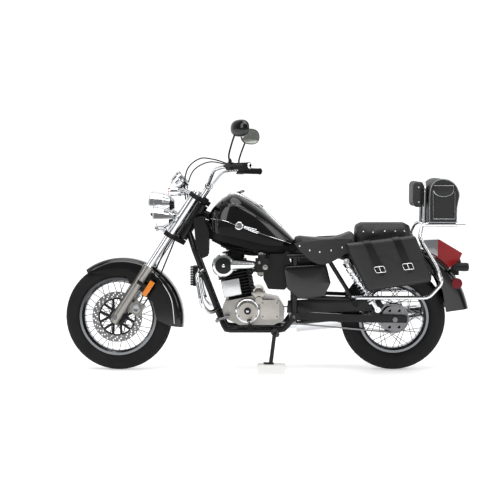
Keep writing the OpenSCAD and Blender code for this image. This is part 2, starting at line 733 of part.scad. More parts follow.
// Tank, seats and covers
// Columns: place, half width, top, bottom
tank_table = [
    [320, 40, 872, 806], [296, 86, 908, 778], [250, 126, 952, 762], [180, 150, 984, 750],
    [90, 148, 944, 728], [0, 136, 878, 706], [-80, 110, 806, 700], [-140, 74, 746, 706],
    [-156, 54, 722, 706]];
tunnel_half = 26;
tunnel_rise = 26;
spine_slope = atan2(neck_up.z - spine_rear.z, neck_up.x - spine_rear.x);
module fuel_tank() {
    color("#0d0d0f") placed() difference() {
        loft([for (t = tank_table) pillow(t[0], t[1], t[2], t[3], 0.7)]);
        translate(spine_rear) rotate([0, -spine_slope, 0]) translate([-200, -tunnel_half, -200])
            cube([1000, 2 * tunnel_half, 200 + tunnel_rise]);
    }
}
// Columns: place, half width, thickness over the tank
console_table = [[250, 22, 10], [180, 36, 14], [90, 38, 14], [0, 34, 14], [-80, 20, 10]];
function tank_top(x) = lookup(x, [for (t = tank_table) [t[0], t[2]]]);
module tank_console() {
    color("#d5d8db") placed() loft([for (t = console_table)
        pillow(t[0], t[1], tank_top(t[0]) + t[2], tank_top(t[0]) + 2 * seat_gap)]);
}
// Columns: place, half width, top, bottom
seat_table = [[-160, 66, 752, 655], [-220, 104, 748, 655], [-300, 138, 738, 655],
    [-390, 146, 742, 655], [-460, 138, 768, 655], [-490, 124, 776, 655]];
module rider_seat() {
    color("#1a1a1c") placed() loft([for (t = seat_table) pillow(t[0], t[1], t[2], seat_base)]);
}
pillion_front = -495;
pillion_rear = -795;
pillion_top = 826;
pillion_steps = 6;
function over_fender(x) = rear_r + sqrt(pow(fender_r + 1.1, 2) - pow(x - rear_x, 2));
module pillion_pad() {
    color("#1a1a1c") placed() loft([for (i = [0:pillion_steps])
        let (x = pillion_front + (pillion_rear - pillion_front) * i / pillion_steps,
             edge = (i == 0 || i == pillion_steps) ? 0.88 : 1)
        pillow(x, 105 * edge, pillion_top - (1 - edge) * 160, over_fender(x))]);
}
module battery_box() {
    color("#1c1c1e") placed() translate([-330, -70, 420]) cube([150, 140, rail_z - tray_r - seat_gap - 420]);
}
module side_covers() {
    color("#0d0d0f") placed() both_sides() translate([0, cover_in + 10, 0]) spin_y() linear_extrude(height = 10)
        intersection() {
            polygon([[-96, 590], [-330, 600], [-352, 500], [-318, 424], [-180, 410], [-110, 470]]);
            translate([-225, 505]) circle(r = 142);
        }
}
rear_lip = 8;
rear_front_lip = 128;
tail_bead_r = fender_r * (1 - cos(rear_lip));
module rear_fender() {
    color("#111113") placed() {
        at_rear() rotate([0, 180, 0]) mirror([0, 0, 1])
            fender_arc(fender_r, 86, fender_half, rear_lip, rear_front_lip);
        rod([fender_at(rear_lip, 0).x, -fender_half, fender_at(rear_lip, 0).y],
            [fender_at(rear_lip, 0).x, fender_half, fender_at(rear_lip, 0).y], tail_bead_r);
    }
}
lamp_half = 52;
// Columns: angle up from level round the rear axle, height over the fender's crown
lamp_table = [[69.9, 47], [60.2, 89.8], [43.9, 108.4], [41.9, 70], [42.6, -19.4], [58.2, -52.6]];
function fender_at(angle, out) =
    [rear_x - (fender_r + out) * cos(angle), rear_r + (fender_r + out) * sin(angle)];
module tail_lamp() {
    color("#8c1014") placed() difference() {
        translate([0, lamp_half, 0]) spin_y() linear_extrude(height = 2 * lamp_half)
            polygon([for (t = lamp_table) fender_at(t[0], t[1])]);
        at_rear() spin_y() cylinder(h = 400, r = fender_r + seat_gap, center = true, $fn = 120);
    }
}
signal_bar_x = -1052;
module rear_signals() {
    color("#2a2b2d") placed() {
        difference() {
            translate([signal_bar_x, 0, 555]) cube([40, 60, 50], center = true);
            at_rear() spin_y() cylinder(h = 400, r = fender_r + seat_gap, center = true, $fn = 120);
        }
        rod([signal_bar_x - 8, -128, 585], [signal_bar_x - 8, 128, 585], 9);
        both_sides() translate([signal_bar_x - 8, 132, 585]) rotate([0, 0, 180]) signal_body(24, 92);
    }
}
module rear_reflectors() {
    color("#6a1014") placed() both_sides()
        translate([-1050, fender_half + seat_gap, 492]) rotate([-90, 0, 0]) cylinder(h = 9, r = 29);
}
bag_in = 182;
bag_depth = 118;
bag_corners = [[-452, 697], [-782, 737], [-860, 537], [-552, 491]];
module saddlebag() {
    hull() for (c = bag_corners) translate([c.x, bag_in, c.y]) rotate([-90, 0, 0])
        cylinder(h = bag_depth, r = 18, $fn = 32);
}
module saddlebag_left() {
    color("#0d0d0f") placed() saddlebag();
}
module saddlebag_right() {
    color("#0d0d0f") placed() mirror([0, 1, 0]) saddlebag();
}
loop_y = 196;
stay_y = bag_in - seat_gap - 9;
rack_y = 128;
rack_z = 818;
loop_r = 11;
rack_end = -1088;
side_loop = [[peg_x + 2, loop_y, 423], [-880, loop_y, 423], [-955, loop_y, 505], [-925, loop_y, 590],
    [-830, loop_y - 6, 745], [-850, rack_y, rack_z], [rack_end, rack_y, rack_z]];
hoop_r = 9;
stay_r = 9;
hoop = [[-868, 84, rack_z], [-872, 84, 1020], [-874, 0, 1052]];
function stay_foot(x) = [x, rail_half, rail_z]
    + unit([0, stay_y - rail_half, 610 - rail_z]) * (rail_r + seat_gap);
module bag_rail() {
    tube(side_loop, loop_r, 28, turned = true);
    tube([stay_foot(-640), [-640, stay_y, 610], [-790, stay_y, 610], stay_foot(-790)], stay_r, 14,
        turned = true);
    rod([peg_x + 6, loop_y, 423], [peg_x + 6, peg_face + seat_gap, 423], stay_r);
}
module bag_rail_left() {
    color("#d5d8db") placed() bag_rail();
}
module bag_rail_right() {
    color("#d5d8db") placed() mirror([0, 1, 0]) bag_rail();
}
rack_reach = rack_y - loop_r - seat_gap;
module rear_rack() {
    color("#d5d8db") placed() {
        tube(concat(hoop, flip([for (i = [len(hoop) - 2:-1:0]) hoop[i]])), hoop_r, 20, turned = true);
        for (x = [-868, -960, rack_end + 6])
            rod([x, -rack_reach, rack_z], [x, rack_reach, rack_z], 8);
    }
}
module backrest_pad() {
    color("#1a1a1c") placed() translate([-862 + seat_gap + 1, -112, 907]) cube([52, 224, 150]);
}
module top_bag() {
    color("#0d0d0f") placed() translate([-1050, -152, rack_z + loop_r + seat_gap]) cube([162, 304, 238]);
}
coil_n = 9;
module shocks() {
    color("#c9ccd0") placed() both_sides() {
        d = shock_low - shock_top;
        rod(shock_top, shock_top + d * 0.2, 10);
        rod(shock_top + d * 0.1, shock_top + d * 0.45, 20);
        rod(shock_top + d * 0.4, shock_low, 10);
        for (i = [0:coil_n - 1]) {
            k = 0.16 + 0.6 * i / (coil_n - 1);
            rod(shock_top + d * k, shock_top + d * (k + 0.032), 27);
        }
        for (p = [shock_top, shock_low]) translate(p) spin_y() cylinder(h = shock_eye, r = 16, center = true);
    }
}
chain_y = sprocket_y;
chain_t = 8.5;
chain_front = [-20, 318];
chain_h = 11;
module chain_outline(grow) {
    hull() {
        translate([rear_x, rear_r]) circle(r = sprocket_r + seat_gap + grow);
        translate(chain_front) circle(r = drive_r + seat_gap + grow);
    }
}
module chain() {
    color("#3a3b3d") placed() translate([0, chain_y + chain_t / 2, 0]) spin_y() linear_extrude(height = chain_t)
        difference() {
            chain_outline(chain_h);
            chain_outline(0);
        }
}
peg_front_x = 90;
module foot_pegs() {
    color("#232426") placed() both_sides() {
        tube([[peg_front_x, cradle_half + 16 + seat_gap, cradle_z], [peg_front_x, 140, cradle_z],
            [peg_front_x, 190, 262]], 9);
        rod([peg_front_x, 188, 262], [peg_front_x, 290, 270], 18);
        rod([peg_x, peg_face + seat_gap, peg_z - 12], [peg_x, 222, peg_z - 12], 9);
        rod([peg_x, 220, peg_z - 12], [peg_x, 300, peg_z - 8], 16);
    }
}
module foot_pedals() {
    color("#8d8f92") placed() both_sides() {
        rod([212, engine_half + seat_gap, 312], [212, 166, 312], 9);
        rod([212, 160, 312], [270, 178, 300], 7);
        rod([270, 172, 300], [270, 228, 300], 10);
    }
}
module engine_guard() {
    color("#d5d8db") placed() both_sides()
        tube([[down_at(560).x, down_half + 18.9, 560], [382, 170, 545], [352, 215, 380],
            [312, 150, 330], [down_at(345).x, down_half + 20.9, 345]], 12, 40, turned = true);
}
function down_at(z) = let (t = (down_knee.z - z) / (down_knee.z - down_low.z))
    down_knee + (down_low - down_knee) * t;
module regulator() {
    color("#1c1c1e") placed() {
        translate([382, -40, 470]) cube([26, 80, 110]);
        both_sides() rod(down_at(525) + unit([384, 30, 525] - down_at(525)) * 19, [384, 30, 525], 6);
        for (i = [0:7]) translate([408, -40, 474 + i * 14]) cube([16, 80, 5]);
    }
}

// Side stand, drawn as it meets the level block
module level() { translate(origin_shift) children(); }
module in_level() { rotate([lean, 0, 0]) children(); }
function leaned(p) = [p.x, p.y * cos(lean) + p.z * sin(lean), p.z * cos(lean) - p.y * sin(lean)];
stand_pivot = leaned([-45, 126, 222]);
stand_yaw = 25;
stand_tilt = 25;
stand_axis = [sin(stand_yaw) * cos(stand_tilt), cos(stand_yaw) * cos(stand_tilt), sin(stand_tilt)];
stand_pin_r = 7;
eye_half = 7;
eye_r = 20;
foot_y = 222;
foot_w = 36;
// The sole is flat at its heel and rises to its toe, in X and Z over the block
sole = [[-38, 0], [-12, 0], [16, 4], [18, 11], [-38, 8]];
module side_stand() {
    color("#17181a") level() difference() {
        union() {
            rod(stand_pivot - stand_axis * eye_half, stand_pivot + stand_axis * eye_half, eye_r);
            leg_end = [-22, foot_y, block_h + seat_gap + 6];
            rod(stand_pivot + unit(leg_end - stand_pivot) * 17, leg_end, 11);
            translate([0, foot_y + foot_w / 2, block_h + seat_gap]) spin_y()
                linear_extrude(height = foot_w) polygon(sole);
        }
        rod(stand_pivot - stand_axis * 60, stand_pivot + stand_axis * 60, stand_pin_r + run_gap);
    }
}
module stand_pin() {
    rod(stand_pivot - stand_axis * 36, stand_pivot + stand_axis * 18, stand_pin_r);
    rod(stand_pivot - stand_axis * 36, stand_pivot - stand_axis * (eye_half + seat_gap), 15);
    rod(stand_pivot + stand_axis * (eye_half + seat_gap), stand_pivot + stand_axis * 13, 12);
    rod(leaned([-52, cradle_half, cradle_z]), stand_pivot - stand_axis * 24, 12);
}
block_x = -100;
block_y = 162;
block_w = 120;
module stand_block() {
    color("#e9e9e6") level() translate([block_x, block_y, 0]) cube([block_l, block_w, block_h]);
}

frame();
neck_cover();
swingarm();
rear_axle();
crankcase();
barrel();
cylinder_head();
head_cover();
left_engine_covers();
right_engine_cover();
air_cleaner();
carburettor();
exhaust();
fuel_tank();
tank_console();
rider_seat();
pillion_pad();
battery_box();
side_covers();
rear_fender();
tail_lamp();
rear_signals();
rear_reflectors();
saddlebag_left();
saddlebag_right();
bag_rail_left();
bag_rail_right();
rear_rack();
backrest_pad();
top_bag();
shocks();
chain();
foot_pegs();
foot_pedals();
engine_guard();
regulator();
stand_block();
yokes();
fork_tubes();
fork_sliders();
front_axle();
handlebar();
grips();
bar_controls();
mirrors();
headlamp();
spot_lamps();
front_signals();
gauge();
front_fender();
brake_caliper();
brake_hoses();
fork_reflectors();
front_tyre();
front_wheel();
brake_disc();
rear_tyre();
rear_wheel();
rear_sprocket();
side_stand();
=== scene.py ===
"""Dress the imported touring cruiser: soft goods, tread, lenses, trim, finishes, light and camera."""
import logging
import math
from dataclasses import dataclass
from enum import Enum
from typing import Callable, Iterable, Sequence

import bmesh
import bpy
from mathutils import Matrix, Vector
from mathutils.bvhtree import BVHTree


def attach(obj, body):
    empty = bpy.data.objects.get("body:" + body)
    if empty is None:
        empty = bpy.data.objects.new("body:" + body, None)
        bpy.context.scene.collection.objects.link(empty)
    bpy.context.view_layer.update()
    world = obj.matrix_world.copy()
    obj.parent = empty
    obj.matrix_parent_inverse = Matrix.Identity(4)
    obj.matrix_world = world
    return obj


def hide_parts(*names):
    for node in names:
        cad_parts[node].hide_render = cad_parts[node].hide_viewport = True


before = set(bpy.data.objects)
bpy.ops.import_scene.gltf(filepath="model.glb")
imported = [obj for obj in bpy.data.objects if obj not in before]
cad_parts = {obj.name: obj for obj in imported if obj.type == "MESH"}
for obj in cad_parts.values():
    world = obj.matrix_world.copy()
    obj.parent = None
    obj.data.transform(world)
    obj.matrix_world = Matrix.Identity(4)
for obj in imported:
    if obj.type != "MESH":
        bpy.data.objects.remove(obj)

LOG = logging.getLogger("cruiser")
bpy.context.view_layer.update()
MM = 0.001
Colour = tuple[float, float, float]
Place = tuple[float, float, float]
Pair = tuple[float, float]
Outline = tuple[Pair, ...]
Object = bpy.types.Object
Node = bpy.types.Node
NodeTree = bpy.types.NodeTree
Point = Sequence[float]
ORIGIN = (0, 0, 0)
X_AXIS, Y_AXIS, Z_AXIS = (1, 0, 0), (0, 1, 0), (0, 0, 1)
SMOOTH_ANGLE = 40.0
WELD_GAP = 0.01
JOIN_GAP = 0.02
COAT_ROUGH = 0.03
CLOUD_SCALE = 9.0
CLOUD_DETAIL = 6.0
BUMP_DEPTH = 0.001


@dataclass(frozen=True)
class Stance:
    """How the machine stands: its lean, its turned fork and the shift of its origin, in millimetres."""

    lean: float = math.radians(3.0)
    steer: float = math.radians(-5.5)
    rake: float = math.radians(33.0)
    front_x: float = 825.0
    front_r: float = 298.0
    rear_x: float = -709.0
    rear_r: float = 292.0
    stem_off: float = 55.0
    shift: Place = (0.82, -68.86, 0.27)

    def body(self) -> Matrix:
        """Return the matrix from upright millimetres to metres in the shared frame."""
        return Matrix.Scale(MM, 4) @ Matrix.Translation(self.shift) @ Matrix.Rotation(-self.lean, 4, "X")

    def fork(self) -> Matrix:
        """Return the matrix that puts fork-leg places into the upright machine."""
        return Matrix.Translation((self.front_x, 0, self.front_r)) @ Matrix.Rotation(-self.rake, 4, "Y")

    def leg(self) -> Matrix:
        """Return the matrix from places along the turned fork leg to the shared frame."""
        turn = Matrix.Translation((-self.stem_off, 0, 0)) @ Matrix.Rotation(self.steer, 4, "Z")
        return self.body() @ self.fork() @ turn @ Matrix.Translation((self.stem_off, 0, 0))

    def steered(self) -> Matrix:
        """Return the matrix for steered pieces that are drawn upright and straight."""
        return self.leg() @ self.fork().inverted()


STANCE = Stance()


def set_inputs(node: Node, values: dict[str, object]) -> None:
    """Set a node's inputs by their names."""
    for name, value in values.items():
        node.inputs[name].default_value = value


def add_object(name: str, data: bpy.types.ID) -> Object:
    """Make an object and put it in the scene.

    Args:
        name: Object name.
        data: Its mesh, light or camera.

    Returns:
        The new object.
    """
    obj = bpy.data.objects.new(name, data)
    bpy.context.scene.collection.objects.link(obj)
    return obj


class Grain(Enum):
    """Kinds of fine surface relief that a finish can carry."""

    NONE = 0
    PEEL = 1
    HIDE = 2
    CAST = 3
    BRUSHED = 4
    MOULDED = 5


@dataclass(frozen=True)
class Finish:
    """A procedural surface finish.

    Attributes:
        name: Material name.
        colour: Base colour.
        rough: Mean roughness.
        metal: Metallic value.
        coat: Clear coat weight.
        grain: Kind of fine relief.
        grain_scale: Relief cells per metre.
        relief: Strength of the relief.
        spread: Roughness change across the surface.
        tint: Second colour that the first drifts towards.
        drift: How far the colour drifts, from 0 to 1.
        glow: Emission strength.
        spec: Plain reflection of a surface that isn't metal; 0.5 is that of most plastics.
    """

    name: str
    colour: Colour
    rough: float
    metal: float = 0.0
    coat: float = 0.0
    grain: Grain = Grain.NONE
    grain_scale: float = 200.0
    relief: float = 0.1
    spread: float = 0.08
    tint: Colour | None = None
    drift: float = 0.35
    glow: float = 0.0
    spec: float = 0.5

    def build(self) -> bpy.types.Material:
        """Build the material once and hand back the same one afterwards.

        Returns:
            The material.
        """
        known = bpy.data.materials.get(self.name)
        if known is not None:
            return known
        material = bpy.data.materials.new(self.name)
        material.use_nodes = True
        tree = material.node_tree
        shader = tree.nodes["Principled BSDF"]
        set_inputs(shader, {"Metallic": self.metal, "Specular IOR Level": self.spec, "Coat Weight": self.coat,
                            "Coat Roughness": COAT_ROUGH})
        if self.glow > 0:
            set_inputs(shader, {"Emission Color": (*self.colour, 1), "Emission Strength": self.glow})
        place = tree.nodes.new("ShaderNodeTexCoord")
        cloud = tree.nodes.new("ShaderNodeTexNoise")
        set_inputs(cloud, {"Scale": CLOUD_SCALE, "Detail": CLOUD_DETAIL})
        tree.links.new(place.outputs["Object"], cloud.inputs["Vector"])
        self._roughness(tree, shader, cloud)
        self._colour(tree, shader, cloud)
        if self.grain is not Grain.NONE:
            self._relief(tree, shader, place)
        return material

    def _roughness(self, tree: NodeTree, shader: Node, cloud: Node) -> None:
        """Let the roughness wander a little over the surface.

        Args:
            tree: Node tree of the material.
            shader: Its surface shader.
            cloud: Noise that drives the change.
        """
        span = tree.nodes.new("ShaderNodeMapRange")
        set_inputs(span, {"From Min": 0.3, "From Max": 0.7, "To Min": max(0.0, self.rough - self.spread),
                          "To Max": min(1.0, self.rough + self.spread)})
        tree.links.new(cloud.outputs["Fac"], span.inputs["Value"])
        tree.links.new(span.outputs["Result"], shader.inputs["Roughness"])

    def _colour(self, tree: NodeTree, shader: Node, cloud: Node) -> None:
        """Drift the colour towards the tint, or set it plainly.

        Args:
            tree: Node tree of the material.
            shader: Its surface shader.
            cloud: Noise that drives the change.
        """
        shader.inputs["Base Color"].default_value = (*self.colour, 1)
        if self.tint is None:
            return
        ramp = tree.nodes.new("ShaderNodeValToRGB")
        ramp.color_ramp.elements[0].position = 0.35
        ramp.color_ramp.elements[1].position = 0.75
        ramp.color_ramp.elements[0].color = (*self.colour, 1)
        far = [c + (t - c) * self.drift for c, t in zip(self.colour, self.tint)]
        ramp.color_ramp.elements[1].color = (*far, 1)
        tree.links.new(cloud.outputs["Fac"], ramp.inputs["Fac"])
        tree.links.new(ramp.outputs["Color"], shader.inputs["Base Color"])

    def _relief(self, tree: NodeTree, shader: Node, place: Node) -> None:
        """Add the fine relief as a bump.

        Args:
            tree: Node tree of the material.
            shader: Its surface shader.
            place: Coordinates that the relief follows.
        """
        vector = place.outputs["Object"]
        if self.grain is Grain.BRUSHED:
            stretch = tree.nodes.new("ShaderNodeMapping")
            stretch.inputs["Scale"].default_value = (1.0, 0.06, 1.0)
            tree.links.new(vector, stretch.inputs["Vector"])
            vector = stretch.outputs["Vector"]
        if self.grain is Grain.HIDE:
            cells = tree.nodes.new("ShaderNodeTexVoronoi")
            cells.feature = "DISTANCE_TO_EDGE"
            height = cells.outputs["Distance"]
        else:
            cells = tree.nodes.new("ShaderNodeTexNoise")
            cells.inputs["Detail"].default_value = 4.0 if self.grain is Grain.CAST else 2.0
            height = cells.outputs["Fac"]
        cells.inputs["Scale"].default_value = self.grain_scale
        tree.links.new(vector, cells.inputs["Vector"])
        bump = tree.nodes.new("ShaderNodeBump")
        set_inputs(bump, {"Strength": self.relief, "Distance": BUMP_DEPTH})
        tree.links.new(height, bump.inputs["Height"])
        tree.links.new(bump.outputs["Normal"], shader.inputs["Normal"])


class Finishes:
    """The finishes of this machine."""

    PAINT = Finish("gloss_black_paint", (0.002, 0.002, 0.0024), 0.1, coat=0.2, grain=Grain.PEEL,
                   grain_scale=180, relief=0.02, spread=0.02)
    FRAME = Finish("frame_black", (0.006, 0.006, 0.0065), 0.3, coat=0.1, grain=Grain.PEEL, grain_scale=260,
                   relief=0.05, spec=0.25)
    SATIN = Finish("satin_black_metal", (0.01, 0.01, 0.011), 0.42, grain=Grain.CAST, grain_scale=420,
                   relief=0.12, tint=(0.03, 0.03, 0.03), spec=0.2)
    CHROME = Finish("chrome", (0.34, 0.35, 0.365), 0.05, metal=1.0, grain=Grain.PEEL, grain_scale=60,
                    relief=0.012, spread=0.03)
    # Painted shade: the wheels' chrome is a darker copy of the chrome finish, so spokes and rims read dark
    # grey.
    SHADED_WHEEL_CHROME = Finish("wheel_chrome_painted_shade", (0.2, 0.205, 0.215), 0.12, metal=1.0, grain=Grain.PEEL, grain_scale=90,
                   relief=0.012, spread=0.04, tint=(0.28, 0.285, 0.3))
    ALLOY = Finish("satin_alloy", (0.34, 0.33, 0.31), 0.32, metal=1.0, grain=Grain.CAST, grain_scale=520,
                   relief=0.07, tint=(0.25, 0.24, 0.22))
    COVER = Finish("polished_cover", (0.42, 0.4, 0.37), 0.22, metal=1.0, grain=Grain.BRUSHED,
                   grain_scale=300, relief=0.05, tint=(0.33, 0.31, 0.28))
    STEEL = Finish("ground_steel", (0.22, 0.22, 0.23), 0.28, metal=1.0, grain=Grain.BRUSHED, grain_scale=400,
                   relief=0.08, tint=(0.16, 0.16, 0.17))
    # Painted reflection: the chrome head cover gets this pale, half-metallic colour, which paints in the
    # white it reflects.
    PAINTED_REFLECTION_COVER = Finish("head_cover_painted_reflection", (0.78, 0.79, 0.8), 0.24, metal=0.6, grain=Grain.BRUSHED, grain_scale=200,
                    relief=0.03, tint=(0.66, 0.67, 0.69))
    FIN = Finish("black_fins", (0.01, 0.01, 0.01), 0.5, metal=0.1, grain=Grain.CAST, grain_scale=600,
                 relief=0.2, tint=(0.03, 0.03, 0.03), spec=0.15)
    TYRE = Finish("tyre_rubber", (0.011, 0.011, 0.0115), 0.66, grain=Grain.CAST, grain_scale=500,
                  relief=0.15, tint=(0.028, 0.028, 0.028), spec=0.14)
    RUBBER = Finish("moulded_rubber", (0.01, 0.01, 0.01), 0.6, grain=Grain.MOULDED, grain_scale=700,
                    relief=0.12, spec=0.15)
    SEAT = Finish("seat_leather", (0.007, 0.007, 0.0075), 0.4, grain=Grain.HIDE, grain_scale=420,
                  relief=0.22, spread=0.1, tint=(0.018, 0.018, 0.018), spec=0.28)
    BAG = Finish("bag_leather", (0.004, 0.004, 0.0045), 0.2, coat=0.2, grain=Grain.HIDE, grain_scale=260,
                 relief=0.06, spread=0.08, spec=0.35)
    STRAP = Finish("strap_leather", (0.01, 0.01, 0.01), 0.36, grain=Grain.HIDE, grain_scale=500, relief=0.15,
                   spec=0.25)
    PIPING = Finish("bright_piping", (0.36, 0.37, 0.385), 0.18, metal=0.8, grain=Grain.PEEL, grain_scale=150)
    RED = Finish("red_lens", (0.5, 0.004, 0.012), 0.12, coat=0.3, glow=0.28, grain=Grain.MOULDED,
                 grain_scale=160, relief=0.25, tint=(0.65, 0.02, 0.03))
    DEEP_RED = Finish("red_reflector", (0.16, 0.004, 0.01), 0.2, coat=0.1, spec=0.2, grain=Grain.MOULDED,
                      grain_scale=300, relief=0.5)
    AMBER = Finish("amber_lens", (0.5, 0.09, 0.006), 0.18, coat=0.5, grain=Grain.MOULDED, grain_scale=400,
                   relief=0.4, tint=(0.62, 0.17, 0.015))
    GLASS = Finish("lamp_glass", (0.6, 0.63, 0.65), 0.06, metal=0.55, coat=1.0, grain=Grain.MOULDED,
                   grain_scale=60, relief=0.3)
    MIRROR = Finish("mirror_glass", (0.5, 0.53, 0.47), 0.05, metal=0.9, grain=Grain.PEEL, grain_scale=20,
                    relief=0.01, spread=0.02)
    PLASTIC = Finish("black_plastic", (0.009, 0.009, 0.0095), 0.36, grain=Grain.MOULDED, grain_scale=800,
                     relief=0.1, spec=0.25)
    DIAL = Finish("dial_white", (0.7, 0.7, 0.68), 0.5, grain=Grain.MOULDED, grain_scale=900, relief=0.03)
    # Painted shade: the white stand block is coloured mid grey.
    SHADED_BLOCK = Finish("white_block", (0.34, 0.34, 0.33), 0.55, grain=Grain.CAST, grain_scale=350, relief=0.1,
                   tint=(0.27, 0.27, 0.26))
    FLOOR = Finish("studio_floor", (0.93, 0.93, 0.93), 0.5, grain=Grain.MOULDED, grain_scale=30, relief=0.01,
                   glow=0.38, spec=0.2)


class Form:
    """A mesh in the making, in millimetres, that becomes one piece."""

    def __init__(self) -> None:
        """Start an empty mesh."""
        self.bm = bmesh.new()

    def ring_loft(self, rings: Sequence[Sequence[Point]], closed: bool = True, cap: bool = True) -> None:
        """Skin rings of the same count.

        Args:
            rings: Point rings along the body.
            closed: Whether each ring closes on itself.
            cap: Whether the first and last ring are filled.
        """
        rows = [[self.bm.verts.new(p) for p in ring] for ring in rings]
        count = len(rows[0])
        for low, high in zip(rows, rows[1:]):
            for j in range(count if closed else count - 1):
                k = (j + 1) % count
                self.bm.faces.new((low[j], low[k], high[k], high[j]))
        if cap and closed:
            self.bm.faces.new(rows[0][::-1])
            self.bm.faces.new(rows[-1])

    def tube(self, path: Sequence[Point], radius: float, sides: int = 12, flat: float = 1.0) -> None:
        """Sweep a round or flattened section along a path.

        Args:
            path: Points of the middle line.
            radius: Section radius.
            sides: Points of the section.
            flat: Height of the section as a share of its width.
        """
        points = [Vector(p) for p in path]
        side = None
        rings = []
        for i, p in enumerate(points):
            ahead = points[min(i + 1, len(points) - 1)] - points[max(i - 1, 0)]
            ahead.normalize()
            if side is None:
                guess = Vector(Z_AXIS) if abs(ahead.z) < 0.9 else Vector(X_AXIS)
                side = ahead.cross(guess)
            side = (side - ahead * side.dot(ahead)).normalized()
            up = side.cross(ahead)
            rings.append([p + side * radius * math.cos(a) + up * radius * flat * math.sin(a)
                          for a in (2 * math.pi * k / sides for k in range(sides))])
        self.ring_loft(rings)

    def revolve(self, profile: Sequence[Pair], origin: Point, axis: Point,
                steps: int = 40) -> None:
        """Turn a profile of radius and height pairs about an axis.

        Args:
            profile: Radius and height pairs; a radius of 0 closes to a pole.
            origin: Place of height 0 on the axis.
            axis: Direction of growing height.
            steps: Count of points round the axis.
        """
        z = Vector(axis).normalized()
        x = z.orthogonal().normalized()
        y = z.cross(x)
        o = Vector(origin)
        rows: list[list[bmesh.types.BMVert]] = []
        for r, h in profile:
            if r <= 1e-6:
                rows.append([self.bm.verts.new(o + z * h)])
            else:
                rows.append([self.bm.verts.new(o + z * h + (x * math.cos(a) + y * math.sin(a)) * r)
                             for a in (2 * math.pi * k / steps for k in range(steps))])
        for low, high in zip(rows, rows[1:]):
            for j in range(steps):
                k = (j + 1) % steps
                corners = [low[j % len(low)], low[k % len(low)], high[k % len(high)], high[j % len(high)]]
                unique = list(dict.fromkeys(corners))
                if len(unique) > 2:
                    self.bm.faces.new(unique)

    def block(self, centre: Point, size: Point, bevel: float = 2.0, steps: int = 2) -> None:
        """Add a box with rounded edges.

        Args:
            centre: Middle of the box.
            size: Full size along X, Y and Z.
            bevel: Width of the rounding.
            steps: Steps of the rounding.
        """
        made = bmesh.ops.create_cube(self.bm, size=1.0)["verts"]
        for v in made:
            v.co = Vector(centre) + Vector((v.co.x * size[0], v.co.y * size[1], v.co.z * size[2]))
        edges = list({e for v in made for e in v.link_edges})
        bmesh.ops.bevel(self.bm, geom=edges, offset=bevel, segments=steps, profile=0.5, affect="EDGES")

    def plate(self, outline: Sequence[Pair], y: float, depth: float,
              bevel: float = 0.0) -> None:
        """Add a plate from an outline in X and Z.

        Args:
            outline: Corners in X and Z.
            y: Place of the inner face.
            depth: Thickness towards growing Y.
            bevel: Width of the rounding of its edges.
        """
        low = [self.bm.verts.new((x, y, z)) for x, z in outline]
        high = [self.bm.verts.new((x, y + depth, z)) for x, z in outline]
        count = len(outline)
        faces = [self.bm.faces.new(low[::-1]), self.bm.faces.new(high)]
        for j in range(count):
            k = (j + 1) % count
            faces.append(self.bm.faces.new((low[j], low[k], high[k], high[j])))
        if bevel > 0:
            edges = [e for f in faces[:2] for e in f.edges]
            bmesh.ops.bevel(self.bm, geom=edges, offset=bevel, segments=2, profile=0.5, affect="EDGES")

    def mirrored(self) -> None:
        """Add the mirror image across the middle plane."""
        whole = self.bm.verts[:] + self.bm.edges[:] + self.bm.faces[:]
        for v in bmesh.ops.duplicate(self.bm, geom=whole)["geom"]:
            if isinstance(v, bmesh.types.BMVert):
                v.co.y = -v.co.y

    def piece(self, name: str, matrix: Matrix, finish: Finish,
              smooth: float = SMOOTH_ANGLE) -> Object:
        """Close the mesh and make its object at the origin, with its place in the mesh.

        Args:
            name: Object name.
            matrix: From these millimetres to the shared frame in metres.
            finish: Finish of the piece.
            smooth: Largest angle that is shaded smoothly, in degrees.

        Returns:
            The new object.
        """
        bmesh.ops.remove_doubles(self.bm, verts=self.bm.verts[:], dist=WELD_GAP)
        bmesh.ops.transform(self.bm, matrix=matrix, verts=self.bm.verts[:])
        bmesh.ops.recalc_face_normals(self.bm, faces=self.bm.faces[:])
        mesh = bpy.data.meshes.new(name)
        self.bm.to_mesh(mesh)
        self.bm.free()
        obj = add_object(name, mesh)
        mesh.materials.append(finish.build())
        shade(obj, smooth)
        return obj

    def fix(self, name: str, finish: Finish, slot: str, *nodes: str, smooth: float = SMOOTH_ANGLE) -> None:
        """Make a piece of the upright machine and seat it on the frame; see piece and seat_on."""
        seat_on(self.piece(name, STANCE.body(), finish, smooth), "frame", slot, *nodes)

    def steer(self, name: str, finish: Finish, slot: str, *nodes: str) -> None:
        """Make a piece that turns with the bars and seat it on the steering; see piece and seat_on."""
        seat_on(self.piece(name, STANCE.steered(), finish), "steering", slot, *nodes)


def shade(obj: Object, angle: float) -> None:
    """Shade an object smoothly up to an angle.

    Args:
        obj: The object.
        angle: Largest smooth angle in degrees.
    """
    for polygon in obj.data.polygons:
        polygon.use_smooth = True
    obj.data.set_sharp_from_angle(angle=math.radians(angle))


def mend(obj: Object, gap: float = JOIN_GAP) -> None:
    """Merge doubled points and turn every face outwards.

    Args:
        obj: The object.
        gap: Distance within which points merge, in the mesh's own unit.
    """
    work = bmesh.new()
    work.from_mesh(obj.data)
    bmesh.ops.remove_doubles(work, verts=work.verts[:], dist=gap)
    bmesh.ops.recalc_face_normals(work, faces=work.faces[:])
    work.to_mesh(obj.data)
    work.free()


